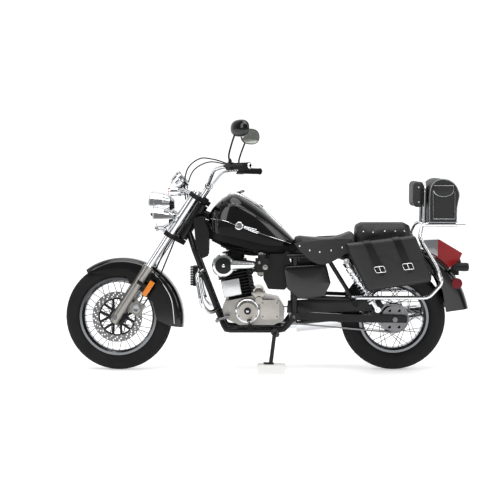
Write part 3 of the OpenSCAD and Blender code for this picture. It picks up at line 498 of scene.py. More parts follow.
def seat_on(obj: Object, body: str, slot: str, *nodes: str) -> Object:
    """Give a piece its body and hide the CAD nodes that it stands for.

    Args:
        obj: The piece.
        body: Body that it rides on.
        slot: Record slot of its finish; not used.
        nodes: CAD nodes that it replaces.

    Returns:
        The same piece.
    """
    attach(obj, body)
    if nodes:
        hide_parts(*nodes)
    LOG.info("%s rides on %s", obj.name, body)
    return obj


def spline(a: float, b: float, c: float, d: float, t: float) -> float:
    """Return the value at a share t of the way from b to c on the smooth curve through four values."""
    bend = (2 * a - 5 * b + 4 * c - d) * t * t + (3 * b - a - 3 * c + d) * t ** 3
    return 0.5 * (2 * b + (c - a) * t + bend)


def smooth_rows(table: Sequence[Sequence[float]], per_span: int) -> list[list[float]]:
    """Run smooth curves through the columns of a table.

    Args:
        table: Rows of numbers.
        per_span: Steps between two rows.

    Returns:
        The finer rows.
    """
    rows = [list(r) for r in table]
    before, after = ([2 * a - b for a, b in zip(rows[i], rows[j])] for i, j in ((0, 1), (-1, -2)))
    ends = [before] + rows + [after]
    out = []
    for a, b, c, d in zip(ends, ends[1:], ends[2:], ends[3:]):
        for k in range(per_span):
            t = k / per_span
            out.append([spline(p, q, r, s, t) for p, q, r, s in zip(a, b, c, d)])
    out.append(rows[-1])
    return out


def smooth_path(points: Sequence[Point], per_span: int = 8) -> list[Vector]:
    """Run a smooth curve through points; see smooth_rows."""
    return [Vector(row) for row in smooth_rows(points, per_span)]


def new_tree(name: str, inputs: dict[str, str]) -> tuple[NodeTree, Node]:
    """Start a Geometry Nodes tree that takes points or a mesh and a finish.

    Args:
        name: Tree name.
        inputs: Kind of each further input socket, by its name.

    Returns:
        The tree and its input node.
    """
    tree = bpy.data.node_groups.new(name, "GeometryNodeTree")
    for label, kind in {"Geometry": "Geometry", **inputs, "Finish": "Material"}.items():
        tree.interface.new_socket(label, in_out="INPUT", socket_type=f"NodeSocket{kind}")
    tree.interface.new_socket("Geometry", in_out="OUTPUT", socket_type="NodeSocketGeometry")
    return tree, tree.nodes.new("NodeGroupInput")


def turned_to(tree: NodeTree, attribute: str, axis: str) -> Node:
    """Add the node that turns one axis of each copy to a vector of its point.

    Args:
        tree: The tree.
        attribute: Name of the vector.
        axis: Axis that is turned.

    Returns:
        The node with the rotation.
    """
    read = tree.nodes.new("GeometryNodeInputNamedAttribute")
    read.data_type = "FLOAT_VECTOR"
    read.inputs["Name"].default_value = attribute
    turn = tree.nodes.new("FunctionNodeAlignRotationToVector")
    turn.axis = axis
    tree.links.new(read.outputs["Attribute"], turn.inputs["Vector"])
    return turn


def close_tree(tree: NodeTree, start: Node, place: Node,
               gap: float = 0.0) -> NodeTree:
    """End a tree by making its copies one mesh with the finish on it.

    Args:
        tree: The tree.
        start: Its input node.
        place: Node that sets the copies.
        gap: Distance within which points of the copies merge; 0 leaves them apart.

    Returns:
        The same tree.
    """
    link = tree.links.new
    made = tree.nodes.new("GeometryNodeRealizeInstances")
    link(place.outputs["Instances"], made.inputs["Geometry"])
    if gap > 0:
        join = tree.nodes.new("GeometryNodeMergeByDistance")
        join.inputs["Distance"].default_value = gap
        link(made.outputs["Geometry"], join.inputs["Geometry"])
        made = join
    dress = tree.nodes.new("GeometryNodeSetMaterial")
    link(made.outputs["Geometry"], dress.inputs["Geometry"])
    link(start.outputs["Finish"], dress.inputs["Material"])
    link(dress.outputs["Geometry"], tree.nodes.new("NodeGroupOutput").inputs["Geometry"])
    return tree


def spots_carrier(name: str, spots: Sequence[Sequence[Vector]], *keys: str) -> Object:
    """Make an object of loose points, each with its vectors as named attributes.

    Args:
        name: Name of the pattern.
        spots: Place of each point, then its vectors.
        keys: Names of the vectors, in order.

    Returns:
        The object that feeds a tree.
    """
    points = bpy.data.meshes.new(name + "_spots")
    points.from_pydata([s[0] for s in spots], [], [])
    for column, key in enumerate(keys, 1):
        values = points.attributes.new(key, "FLOAT_VECTOR", "POINT")
        for i, spot in enumerate(spots):
            values.data[i].vector = spot[column]
    return add_object(name + "_spots", points)


class Head(Enum):
    """Shapes of the small fasteners."""

    DOME = "dome"
    ROUND = "round"


class Fasteners:
    """Studs, screws and rivets, set on points by one Geometry Nodes tree for each head shape."""

    def __init__(self, head: Head) -> None:
        """Find or build the tree for a head shape."""
        self.head = head
        self.tree = bpy.data.node_groups.get(f"heads_{head.value}") or self._tree()

    def _tree(self) -> NodeTree:
        """Build the tree that puts one head on each point, along the point's facing attribute.

        Returns:
            The tree.
        """
        tree, start = new_tree(f"heads_{self.head.value}", {"Radius": "Float", "Height": "Float"})
        node, link = tree.nodes.new, tree.links.new
        if self.head is Head.DOME:
            shape = node("GeometryNodeMeshUVSphere")
            set_inputs(shape, {"Segments": 14, "Rings": 8, "Radius": 1.0})
        else:
            shape = node("GeometryNodeMeshCylinder")
            set_inputs(shape, {"Vertices": 16, "Depth": 2.0, "Radius": 1.0})
        size = node("ShaderNodeCombineXYZ")
        for axis, source in (("X", "Radius"), ("Y", "Radius"), ("Z", "Height")):
            link(start.outputs[source], size.inputs[axis])
        place = node("GeometryNodeInstanceOnPoints")
        link(start.outputs["Geometry"], place.inputs["Points"])
        link(shape.outputs["Mesh"], place.inputs["Instance"])
        link(turned_to(tree, "facing", "Z").outputs["Rotation"], place.inputs["Rotation"])
        link(size.outputs["Vector"], place.inputs["Scale"])
        return close_tree(tree, start, place)

    def place(self, name: str, spots: Sequence[tuple[Vector, Vector]], radius: float, height: float,
              finish: Finish) -> Object:
        """Set heads on spots in the shared frame.

        Args:
            name: Object name.
            spots: Place and facing of each head, in metres.
            radius: Head radius in millimetres.
            height: Head height in millimetres.
            finish: Finish of the heads.

        Returns:
            One plain mesh object with every head.
        """
        carrier = spots_carrier(name, spots, "facing")
        values = {"Radius": radius * MM, "Height": height * MM, "Finish": finish.build()}
        return realise(carrier, self.tree, values, name, finish)


def realise(carrier: Object, tree: NodeTree, values: dict[str, object], name: str,
            finish: Finish) -> Object:
    """Run a Geometry Nodes tree on a carrier and keep its result as a plain mesh object.

    Args:
        carrier: Object that feeds the tree; it is removed afterwards.
        tree: The tree.
        values: Input values by socket name.
        name: Name of the result.
        finish: Finish of the result.

    Returns:
        The result.
    """
    modifier = carrier.modifiers.new("pattern", "NODES")
    modifier.node_group = tree
    for item in tree.interface.items_tree:
        if item.item_type == "SOCKET" and item.in_out == "INPUT" and item.name in values:
            modifier[item.identifier] = values[item.name]
    seen = bpy.context.evaluated_depsgraph_get()
    mesh = bpy.data.meshes.new_from_object(carrier.evaluated_get(seen))
    mesh.name = name
    obj = add_object(name, mesh)
    if not mesh.materials:
        mesh.materials.append(finish.build())
    bpy.data.objects.remove(carrier)
    shade(obj, SMOOTH_ANGLE)
    return obj


@dataclass
class Padding:
    """A padded leather piece that is swollen by a cloth simulation.

    Attributes:
        voxel: Cell of the remesh, metres.
        cap: Largest movement of a point, metres.
        pressure: Pressure inside the pad.
        frames: Frames that the simulation runs for.
    """

    voxel: float = 0.006
    cap: float = 0.008
    pressure: float = 4.0
    frames: int = 20

    def swell(self, obj: Object, hold: Callable[[Vector], bool]) -> None:
        """Remesh the pad and let pressure round it.

        Args:
            obj: The pad.
            hold: Says which points rest on something and stay.
        """
        bpy.context.view_layer.objects.active = obj
        obj.select_set(True)
        obj.data.remesh_voxel_size = self.voxel
        bpy.ops.object.voxel_remesh()
        obj.select_set(False)
        start = [v.co.copy() for v in obj.data.vertices]
        cloth = obj.modifiers.new("padding", "CLOTH")
        cloth.settings.use_pressure = True
        cloth.settings.uniform_pressure_force = self.pressure
        cloth.settings.effector_weights.gravity = 0.0
        scene = bpy.context.scene
        for step in range(1, self.frames + 1):
            scene.frame_set(step)
        swollen = obj.evaluated_get(bpy.context.evaluated_depsgraph_get()).data
        ends = [v.co.copy() for v in swollen.vertices]
        obj.modifiers.remove(cloth)
        scene.frame_set(1)
        for v, a, b in zip(obj.data.vertices, start, ends):
            move = b - a
            if move.length > self.cap:
                move *= self.cap / move.length
            v.co = a if hold(a) else a + move
        finer = obj.modifiers.new("finer", "SUBSURF")
        finer.levels = finer.render_levels = 1
        shade(obj, 180)


def tree_of(obj: Object) -> BVHTree:
    """Return a search tree of an object's present surface."""
    seen = bpy.context.evaluated_depsgraph_get()
    return BVHTree.FromObject(obj, seen)


def spots_on(obj: Object, places: Iterable[Vector],
             lift: float = 0.0) -> list[tuple[Vector, Vector]]:
    """Find the nearest surface spots to places.

    Args:
        obj: Object whose surface is searched.
        places: Places in metres.
        lift: Distance off the surface, metres.

    Returns:
        Place and normal of each spot.
    """
    tree = tree_of(obj)
    out = []
    for p in places:
        spot, normal, _, _ = tree.find_nearest(p)
        out.append((spot + normal * lift, normal))
    return out


def pillow_ring(x: float, half: float, top: float, bottom: float, round_top: float = 0.5,
                count: int = 28) -> list[Place]:
    """Return a cushion section: crowned above, flat below, with sides that pull in.

    Args:
        x: Place along the machine.
        half: Half width.
        top: Height of the crown.
        bottom: Height of the base.
        round_top: Fullness of the shoulder; lower is squarer.
        count: Points of the section.

    Returns:
        The ring's points.
    """
    ring = []
    for i in range(count):
        a = math.pi * i / (count - 1)
        c, s = math.cos(a), math.sin(a)
        y = half * math.copysign(abs(c) ** round_top, c)
        ring.append((x, y, bottom + (top - bottom) * abs(s) ** round_top))
    return ring


def blend(table: Sequence[Sequence[float]], x: float) -> list[float]:
    """Look up a row of a table by its first column, in a straight line between rows.

    Args:
        table: Rows of numbers.
        x: Value of the first column.

    Returns:
        The row at that value.
    """
    for low, high in zip(table, table[1:]):
        if min(low[0], high[0]) <= x <= max(low[0], high[0]):
            t = (x - low[0]) / (high[0] - low[0])
            return [a + (b - a) * t for a, b in zip(low, high)]
    return list(table[0] if abs(x - table[0][0]) < abs(x - table[-1][0]) else table[-1])


@dataclass
class RiderSeat:
    """The rider's saddle."""

    table: tuple[tuple[float, ...], ...] = (
        (-158, 58, 742, 657), (-190, 88, 742, 657), (-240, 112, 736, 657), (-300, 134, 731, 657),
        (-360, 142, 733, 657), (-420, 140, 748, 657), (-462, 132, 766, 657), (-486, 120, 772, 657))
    step: int = 12
    rests_below: float = 662.0

    def build(self) -> None:
        """Make the saddle."""
        front, rear = int(self.table[0][0]), int(self.table[-1][0])
        rows = [blend(self.table, x) for x in range(front, rear - 1, -self.step)]
        form = Form()
        form.ring_loft([pillow_ring(x, w, top, low, 0.5) for x, w, top, low in rows])
        pad = form.piece("rider_saddle", STANCE.body(), Finishes.SEAT)
        rest = (STANCE.body() @ Vector((0, 0, self.rests_below))).z
        Padding(cap=0.007).swell(pad, lambda p: p.z < rest)
        seat_on(pad, "frame", "seat_leather", "rider_seat")


@dataclass
class PillionPad:
    """The passenger's pad over the rear fender, with a row of studs along each side."""

    front: float = -498.0
    rear: float = -792.0
    half: float = 100.0
    top: float = 818.0
    seat_r: float = 417.5
    taper: float = 0.14
    droop: float = 90.0
    rests_within: float = 8.0
    studs: tuple[float, ...] = (-526, -587, -651, -708, -766)
    stud_y: float = 140.0
    stud_z: float = 786.0

    def base(self, x: float) -> float:
        """Return the height of the fender's crown under the pad."""
        return STANCE.rear_r + math.sqrt(self.seat_r ** 2 - (x - STANCE.rear_x) ** 2)

    def build(self) -> None:
        """Make the pad and its studs."""
        rings = []
        steps = 20
        for i in range(steps + 1):
            x = self.front + (self.rear - self.front) * i / steps
            edge = 1 - self.taper * max(0.0, abs(2 * i / steps - 1) - 0.8) / 0.2
            crown = self.top - (1 - edge) * self.droop
            rings.append(pillow_ring(x, self.half * edge, crown, self.base(x), 0.42))
        form = Form()
        form.ring_loft(rings)
        steady = STANCE.body()
        pad = form.piece("pillion_cushion", steady, Finishes.SEAT)
        Padding(cap=0.006).swell(pad, lambda p: self._rests(steady.inverted() @ p))
        seat_on(pad, "frame", "seat_leather", "pillion_pad")
        sides = [steady @ Vector((x, side * self.stud_y, self.stud_z))
                 for side in (1, -1) for x in self.studs]
        spots = spots_on(pad, sides, 0.0006)
        studs = Fasteners(Head.DOME).place("pillion_studs", spots, 5.2, 3.4, Finishes.CHROME)
        seat_on(studs, "frame", "chrome", "pillion_pad")

    def _rests(self, p: Vector) -> bool:
        """Say whether an upright place lies on the fender."""
        return p.z < self.base(max(min(p.x, self.front), self.rear)) + self.rests_within


def rounded_outline(corners: Sequence[Pair], radius: float, steps: int = 8) -> list[Vector]:
    """Return a convex outline whose corners are rounded outwards.

    Args:
        corners: Corner middles in order.
        radius: Radius round each corner.
        steps: Points on each rounded corner.

    Returns:
        Points of the outline, as vectors of two numbers.
    """
    pts = [Vector(c) for c in corners]
    area = sum(a.x * b.y - b.x * a.y for a, b in zip(pts, pts[1:] + pts[:1]))
    if area < 0:
        pts.reverse()
    out = []
    count = len(pts)
    for i, p in enumerate(pts):
        before, after = p - pts[i - 1], pts[(i + 1) % count] - p
        start = math.atan2(-before.x, before.y)
        end = math.atan2(-after.x, after.y)
        while end < start:
            end += 2 * math.pi
        for k in range(steps + 1):
            a = start + (end - start) * k / steps
            out.append(p + Vector((math.cos(a), math.sin(a))) * radius)
    return out


def drawn_in(outline: Sequence[Vector], share: float) -> list[Vector]:
    """Return an outline drawn in towards its middle."""
    middle = sum(outline, Vector((0, 0))) / len(outline)
    return [middle + (p - middle) * share for p in outline]


@dataclass
class Saddlebag:
    """A leather saddlebag with a stepped flap, two straps and two buckles."""

    side: int
    corners: Outline = ((-452, 697), (-782, 737), (-860, 537), (-552, 491))
    corner_r: float = 18.0
    inner: float = 182.5
    outer: float = 298.0
    bulge: float = 7.0
    length: float = 332.0
    strap_half: float = 19.0
    strap_places: Pair = (0.27, 0.74)
    strap_end: float = 170.0
    flap_drop: float = 74.0
    flap_step: float = 52.0
    fold_r: float = 6.0

    def build(self) -> None:
        """Make the bag, its flap, straps, buckles and piping."""
        word = "left" if self.side > 0 else "right"
        matrix = STANCE.body() @ Matrix.Diagonal((1, self.side, 1, 1))
        for kind, form, finish, slot in (
                ("body", self._body(), Finishes.BAG, "bag_leather"),
                ("flap", self._flap(), Finishes.BAG, "bag_leather"),
                ("straps", self._straps(), Finishes.STRAP, "bag_leather"),
                ("buckles", self._buckles(), Finishes.CHROME, "chrome"),
                ("piping", self._piping(), Finishes.STRAP, "bag_leather")):
            seat_on(form.piece(f"bag_{kind}_{word}", matrix, finish), "frame", slot, f"saddlebag_{word}")

    def _frame(self, u: float) -> tuple[Vector, Vector, float]:
        """Measure the bag at one place along its length.

        Args:
            u: Share of the way from front to rear.

        Returns:
            Place of the top edge, direction down the face, and height.
        """
        tl, tr, br, bl = (Vector(c) for c in self.corners)
        along = (tr - tl).normalized()
        normal = Vector((along.y, -along.x))
        if normal.y < 0:
            normal = -normal
        down = bl.lerp(br, u) - tl.lerp(tr, u)
        top = tl.lerp(tr, u) + normal * (self.corner_r + 1)
        return top, down.normalized(), down.length + 2 * self.corner_r

    def face(self, u: float, s: float, off: float) -> Place:
        """Return a place on the outer face.

        Args:
            u: Share of the way from front to rear.
            s: Distance below the top edge.
            off: Distance off the face.

        Returns:
            The upright place.
        """
        top, down, height = self._frame(u)
        p = top + down * s
        v = min(max(s / height, 0.0), 1.0)
        crown = self.bulge * (1 - abs(2 * u - 1) ** 4) * (1 - abs(2 * v - 1) ** 4)
        return (p.x, self.outer + crown + off, p.y)

    def _body(self) -> Form:
        """Skin the bag's shell from its back to its crowned face.

        Returns:
            The shell.
        """
        outline = rounded_outline(self.corners, self.corner_r)
        levels = ((self.inner, 0.94), (self.inner, 0.985), (self.inner + 5, 1.0), (self.outer - 9, 1.0),
                  (self.outer - 3, 0.992), (self.outer, 0.972), (self.outer + 0.34 * self.bulge, 0.86),
                  (self.outer + 0.8 * self.bulge, 0.6), (self.outer + self.bulge, 0.3))
        form = Form()
        form.ring_loft([[(q.x, y, q.y) for q in drawn_in(outline, share)] for y, share in levels])
        return form

    def _flap(self) -> Form:
        """Lay the flap over the top and down the face to its stepped edge.

        Returns:
            The flap.
        """
        form = Form()
        columns = 48
        sheets: list[list[list[Point]]] = [[], []]
        for i in range(columns + 1):
            u = -0.045 + 1.09 * i / columns
            step = min(max((u - 0.49) / 0.09, 0.0), 1.0)
            edge = self.flap_drop + self.flap_step * step
            for layer, lift in enumerate((0.8, 4.6)):
                sheets[layer].append(self._fall(u, edge, lift))
        form.ring_loft([under + over[::-1] for under, over in zip(*sheets)])
        return form

    def _fall(self, u: float, edge: float, lift: float) -> list[Point]:
        """Return a line that runs over the top of the bag and down its face.

        Args:
            u: Share of the way from front to rear.
            edge: Distance below the top edge where it ends.
            lift: Distance off the bag.

        Returns:
            Upright places along the line.
        """
        top, down, _ = self._frame(u)
        line: list[Point] = []
        for share in (0.03, 0.35, 0.7, 0.93):
            y = self.inner + (self.outer - self.inner) * share
            p = top - down * lift
            line.append((p.x, y, p.y))
        for a in (30, 60, 90):
            c, s = math.sin(math.radians(a)), 1 - math.cos(math.radians(a))
            p = top + down * (self.fold_r * s - lift * (1 - s))
            line.append((p.x, self.outer - self.fold_r + (self.fold_r + lift) * c, p.y))
        for k in range(1, 9):
            line.append(self.face(u, self.fold_r + (edge - self.fold_r) * k / 8, lift))
        return line

    def _straps(self) -> Form:
        """Lay the two straps over the flap, each to a pointed tip.

        Returns:
            The straps.
        """
        form = Form()
        half_share = self.strap_half / self.length
        for middle in self.strap_places:
            rows = []
            for share in (-1, -0.34, 0.34, 1):
                u = middle + share * half_share
                low = self._fall(u, self.strap_end, 6.4)
                high = self._fall(u, self.strap_end, 9.4)
                tip = 200 - 26 * abs(share)
                low.append(self.face(u, tip, 5.6))
                high.append(self.face(u, tip, 8.6))
                rows.append(low + high[::-1])
            form.ring_loft(rows)
        return form

    def _buckles(self) -> Form:
        """Make the buckle frames and their tongues.

        Returns:
            The buckles.
        """
        form = Form()
        for middle in self.strap_places:
            corners = [(-27, 136), (27, 136), (27, 170), (-27, 170)]
            loop = [self.face(middle + x / self.length, s, 12.0) for x, s in corners]
            path = []
            for a, b in zip(loop, loop[1:] + loop[:1]):
                path.extend([Vector(a).lerp(Vector(b), t) for t in (0.08, 0.5, 0.92)])
            form.tube(path + path[:1], 2.4, 10, 0.8)
            form.tube([self.face(middle, 137, 12.5), self.face(middle, 171, 13.5)], 1.5, 8)
        return form

    def _piping(self) -> Form:
        """Run a bead round the edge of the face and round the back.

        Returns:
            The piping.
        """
        form = Form()
        outline = rounded_outline(self.corners, self.corner_r)
        for y in (self.outer - 4, self.inner + 5):
            ring = [(p.x, y, p.y) for p in outline]
            form.tube(ring + ring[:1], 3.2, 8)
        return form


@dataclass
class TopBag:
    """The roll-topped bag on the rack, with bright piping and a half-round pocket flap."""

    half: float = 150.0
    outline: Outline = (
        (-890, 832), (-888, 900), (-889, 985), (-897, 1028), (-920, 1056), (-955, 1066), (-992, 1060),
        (-1024, 1040), (-1043, 1008), (-1048, 975), (-1042, 942), (-1036, 900), (-1036, 832))
    centre: Pair = (-965.0, 945.0)
    floor: float = 830.5

    def build(self) -> None:
        """Make the bag, its piping and its pockets."""
        line = smooth_path([Vector((x, 0, z)) for x, z in self.outline], 4)
        cx, cz = self.centre
        rings = []
        for y, share in ((-self.half, 0.9), (-self.half, 0.975), (-self.half + 4, 1.0), (-60, 1.012),
                         (60, 1.012), (self.half - 4, 1.0), (self.half, 0.975), (self.half, 0.9)):
            rings.append([(cx + (p.x - cx) * share, y, max(self.floor, cz + (p.z - cz) * share))
                          for p in line])
        form = Form()
        form.ring_loft(rings)
        form.fix("top_bag_shell", Finishes.BAG, "bag_leather", "top_bag")
        pipe = Form()
        for y in (-self.half + 2, self.half - 2):
            ring = [(p.x, y, p.z) for p in line]
            pipe.tube(ring + ring[:1], 3.0, 8)
        pocket = self._pocket()
        for y in (-self.half - 4, self.half + 4):
            pipe.tube([(x, y, z) for x, z in pocket], 2.4, 8)
            pipe.tube([(-905, y, 1004), (-908, y, 850), (-1026, y, 850), (-1024, y, 1000)], 2.0, 8)
        pipe.fix("top_bag_piping", Finishes.PIPING, "chrome", "top_bag")
        flap = Form()
        flap.plate(pocket, self.half, 4.0, 1.0)
        flap.mirrored()
        flap.fix("top_bag_pockets", Finishes.BAG, "bag_leather", "top_bag")

    def _pocket(self) -> list[Pair]:
        """Draw the half-round pocket flap.

        Returns:
            Its outline in X and Z.
        """
        out = [(-908.0, 1032.0), (-1016.0, 1032.0), (-1016.0, 1006.0)]
        for k in range(1, 12):
            a = math.pi * k / 12
            out.append((-962 - 54 * math.cos(a), 1006 - 34 * math.sin(a)))
        out.append((-908.0, 1006.0))
        return out


@dataclass
class Backrest:
    """The passenger's small backrest pad."""

    front: float = -808.0
    rear: float = -858.0
    half: float = 108.0
    low: float = 911.0
    high: float = 1053.0
    stud_x: float = -834.0
    stud_z: Pair = (938.0, 1022.0)

    def build(self) -> None:
        """Make the pad and its studs."""
        form = Form()
        form.block(((self.front + self.rear) / 2, 0, (self.low + self.high) / 2),
                   (self.front - self.rear, 2 * self.half, self.high - self.low), 16, 5)
        pad = form.piece("backrest_cushion", STANCE.body(), Finishes.SEAT)
        Padding(cap=0.005).swell(pad, lambda p: False)
        seat_on(pad, "frame", "seat_leather", "backrest_pad")
        places = [STANCE.body() @ Vector((self.stud_x, side * (self.half + 20), z))
                  for side in (1, -1) for z in self.stud_z]
        studs = Fasteners(Head.DOME).place("backrest_studs", spots_on(pad, places), 5, 3.5, Finishes.CHROME)
        seat_on(studs, "frame", "chrome", "backrest_pad")


@dataclass
class Tyre:
    """A road tyre with moulded tread, repeated round the wheel by Geometry Nodes."""

    name: str
    node: str
    body: str
    matrix: Matrix
    centre: Place
    radius: float
    width: float
    rim_r: float
    rim_w: float
    count: int = 46
    groove: float = 5.0
    tread_edge: float = 62.0
    fade_run: float = 8.0
    ribs: Outline = ((66, 70), (96, 99))
    rib_rise: float = 0.9
    wave: float = 5.0
    lines: tuple[float, ...] = (-22, 22)
    line_half: float = 3.2
    middle_half: float = 2.0
    slot_slant: float = 150.0
    slot_from: float = 24.0
    slot_share: float = 0.2
    sipe_from: float = 38.0
    sipe: Pair = (0.52, 0.6)

    def build(self) -> None:
        """Make one segment, turn it round the axle and dress it."""
        form = self._segment()
        carrier = form.piece(self.name + "_segment", Matrix.Identity(4), Finishes.TYRE)
        values = {"Count": self.count, "Finish": Finishes.TYRE.build()}
        obj = realise(carrier, ring_tree(), values, self.name, Finishes.TYRE)
        mend(obj)
        obj.data.transform(self.matrix @ Matrix.Translation(self.centre))
        shade(obj, 35)
        seat_on(obj, self.body, "tyre", self.node)

    def _profile(self) -> list[Place]:
        """Run along the crown and down both sides.

        Returns:
            Radius, side place and angle in degrees of each point.
        """
        mid = (self.radius + self.rim_r) / 2 - 4
        rise = self.radius - mid
        out = []
        steps = 56
        for i in range(-steps, steps + 1):
            a = math.radians(125) * i / steps
            c, s = math.cos(a), math.sin(a)
            r = mid + rise * math.copysign(abs(c) ** 0.8, c)
            y = self.width / 2 * math.copysign(abs(s) ** 0.8, s)
            out.append((r, y, math.degrees(a)))
        return out

    def depth(self, angle: float, turn: float) -> float:
        """Return the depth of the tread at a place.

        Args:
            angle: Angle across the crown in degrees.
            turn: Share of the way through one segment, from 0 to 1.

        Returns:
            Depth in millimetres.
        """
        across = abs(angle)
        if across > self.tread_edge:
            return -self.rib_rise if any(low < across < high for low, high in self.ribs) else 0.0
        wave = self.wave * (abs(2 * turn - 1) * 2 - 1)
        deep = 0.0
        if any(abs(angle - line - wave) < self.line_half for line in self.lines):
            deep = 1.0
        if abs(angle - wave * 1.6) < self.middle_half:
            deep = 1.0
        slot = (turn + across / self.slot_slant + (0.5 if angle < 0 else 0.0)) % 1.0
        if across > self.slot_from and slot < self.slot_share:
            deep = 1.0
        if across > self.sipe_from and self.sipe[0] < slot < self.sipe[1]:
            deep = max(deep, 0.6)
        fade = min(1.0, (self.tread_edge - across) / self.fade_run)
        return self.groove * deep * fade

    def _segment(self) -> Form:
        """Skin one segment of the tyre.

        Returns:
            The segment, about the origin, with the axle along Y.
        """
        form = Form()
        steps = 16
        span = 2 * math.pi / self.count
        profile = self._profile()
        seat = self.rim_r - 12
        rings = []
        for k in range(steps + 1):
            a = span * k / steps
            ring = []
            for r, y, angle in profile:
                d = self.depth(angle, k / steps if k < steps else 0.0)
                ring.append(((r - d) * math.cos(a), y, (r - d) * math.sin(a)))
            for r, y in ((self.rim_r + 1, self.rim_w / 2 - 5), (seat, self.rim_w / 2 - 5),
                         (seat, -self.rim_w / 2 + 5), (self.rim_r + 1, -self.rim_w / 2 + 5)):
                ring.append((r * math.cos(a), y, r * math.sin(a)))
            rings.append(ring)
        form.ring_loft(rings, cap=False)
        return form


def ring_tree() -> NodeTree:
    """Build the tree that turns a segment about the Y axis a counted number of times.

    Returns:
        The tree.
    """
    known = bpy.data.node_groups.get("ring_of_segments")
    if known is not None:
        return known
    tree, start = new_tree("ring_of_segments", {"Count": "Int"})
    node, link = tree.nodes.new, tree.links.new
    points = node("GeometryNodePoints")
    link(start.outputs["Count"], points.inputs["Count"])
    index = node("GeometryNodeInputIndex")
    share = node("ShaderNodeMath")
    share.operation = "DIVIDE"
    link(index.outputs["Index"], share.inputs[0])
    link(start.outputs["Count"], share.inputs[1])
    turn = node("ShaderNodeMath")
    turn.operation = "MULTIPLY"
    turn.inputs[1].default_value = -2 * math.pi
    link(share.outputs["Value"], turn.inputs[0])
    angles = node("ShaderNodeCombineXYZ")
    link(turn.outputs["Value"], angles.inputs["Y"])
    rotation = node("FunctionNodeEulerToRotation")
    link(angles.outputs["Vector"], rotation.inputs["Euler"])
    place = node("GeometryNodeInstanceOnPoints")
    link(points.outputs["Points"], place.inputs["Points"])
    link(start.outputs["Geometry"], place.inputs["Instance"])
    link(rotation.outputs["Rotation"], place.inputs["Rotation"])
    return close_tree(tree, start, place, JOIN_GAP)


@dataclass
class Lamps:
    """Lenses of the lamps and of the front turn signals."""

    lamp: Place = (646.0, 0.0, 924.0)
    lamp_r: float = 70.5
    lamp_rise: float = 7.5
    spot: Place = (601.0, 152.0, 848.0)
    spot_r: float = 59.5
    spot_rise: float = 6.4
    signal: Place = (520.0, 158.0, 992.0)
    signal_r: float = 22.3
    signal_rise: float = 6.0
    edge: float = 0.9

    def build(self) -> None:
        """Make the lenses."""
        clear, amber = Form(), Form()
        self._lens(clear, self.lamp, self.lamp_r, self.lamp_rise)
        for side in (1, -1):
            across = Matrix.Diagonal((1, side, 1))
            self._lens(clear, across @ Vector(self.spot), self.spot_r, self.spot_rise)
            self._lens(amber, across @ Vector(self.signal), self.signal_r, self.signal_rise)
        clear.steer("lamp_lenses", Finishes.GLASS, "chrome")
        amber.steer("front_signal_lenses", Finishes.AMBER, "amber_lens")

    def _lens(self, form: Form, at: Point, r: float, rise: float) -> None:
        """Add a domed lens that faces forward.

        Args:
            form: Form that takes the lens.
            at: Middle of its flat back.
            r: Its radius.
            rise: Height of the dome over the edge.
        """
        steps = 8
        profile = [(r, 0.0), (r, self.edge)]
        for k in range(1, steps + 1):
            a = k / steps * math.pi / 2
            profile.append((r * math.cos(a) if k < steps else 0.0, self.edge + rise * math.sin(a)))
        form.revolve(profile, at, X_AXIS, 48)
        # the flat back closes the lens
        form.revolve([(r, 0.0), (0.0, 0.0)], at, X_AXIS, 48)


@dataclass
class Tank:
    """The fuel tank's smooth skin."""

    table: tuple[tuple[float, ...], ...] = (
        (320, 40, 872, 806), (296, 86, 908, 778), (250, 126, 952, 762), (180, 150, 984, 750),
        (90, 148, 944, 728), (0, 136, 878, 706), (-80, 110, 806, 700), (-140, 74, 746, 706),
        (-156, 54, 722, 706))

    def build(self) -> None:
        """Make the skin."""
        rows = smooth_rows(self.table, 6)
        form = Form()
        form.ring_loft([pillow_ring(r[0], r[1], r[2], r[3], 0.7, 44) for r in rows])
        skin = form.piece("tank_skin", STANCE.body(), Finishes.PAINT, 50)
        seat_on(skin, "frame", "black_paint", "fuel_tank")


class Pattern:
    """Copies of one small shape, set on spots with a facing and a run by a Geometry Nodes tree."""

    def __init__(self) -> None:
        """Find or build the tree."""
        self.tree = bpy.data.node_groups.get("copies_on_spots") or self._tree()

    @staticmethod
    def _tree() -> NodeTree:
        """Build the tree that turns each copy's Z to the facing and its X to the run.

        Returns:
            The tree.
        """
        tree, start = new_tree("copies_on_spots", {"Shape": "Object"})
        link = tree.links.new
        shape = tree.nodes.new("GeometryNodeObjectInfo")
        link(start.outputs["Shape"], shape.inputs["Object"])
        face, run = turned_to(tree, "facing", "Z"), turned_to(tree, "run", "X")
        run.pivot_axis = "Z"
        link(face.outputs["Rotation"], run.inputs["Rotation"])
        place = tree.nodes.new("GeometryNodeInstanceOnPoints")
        link(start.outputs["Geometry"], place.inputs["Points"])
        link(shape.outputs["Geometry"], place.inputs["Instance"])
        link(run.outputs["Rotation"], place.inputs["Rotation"])
        return close_tree(tree, start, place)

    def place(self, name: str, form: Form, spots: Sequence[tuple[Vector, Vector, Vector]],
              finish: Finish) -> Object:
        """Set copies of a form on spots in the shared frame.

        Args:
            name: Object name.
            form: Shape of one copy, in millimetres about the origin.
            spots: Place, facing and run of each copy, in metres.
            finish: Finish of the copies.

        Returns:
            One plain mesh object with every copy.
        """
        shape = form.piece(name + "_shape", Matrix.Scale(MM, 4), finish)
        carrier = spots_carrier(name, spots, "facing", "run")
        made = realise(carrier, self.tree, {"Shape": shape, "Finish": finish.build()}, name, finish)
        bpy.data.objects.remove(shape)
        return made


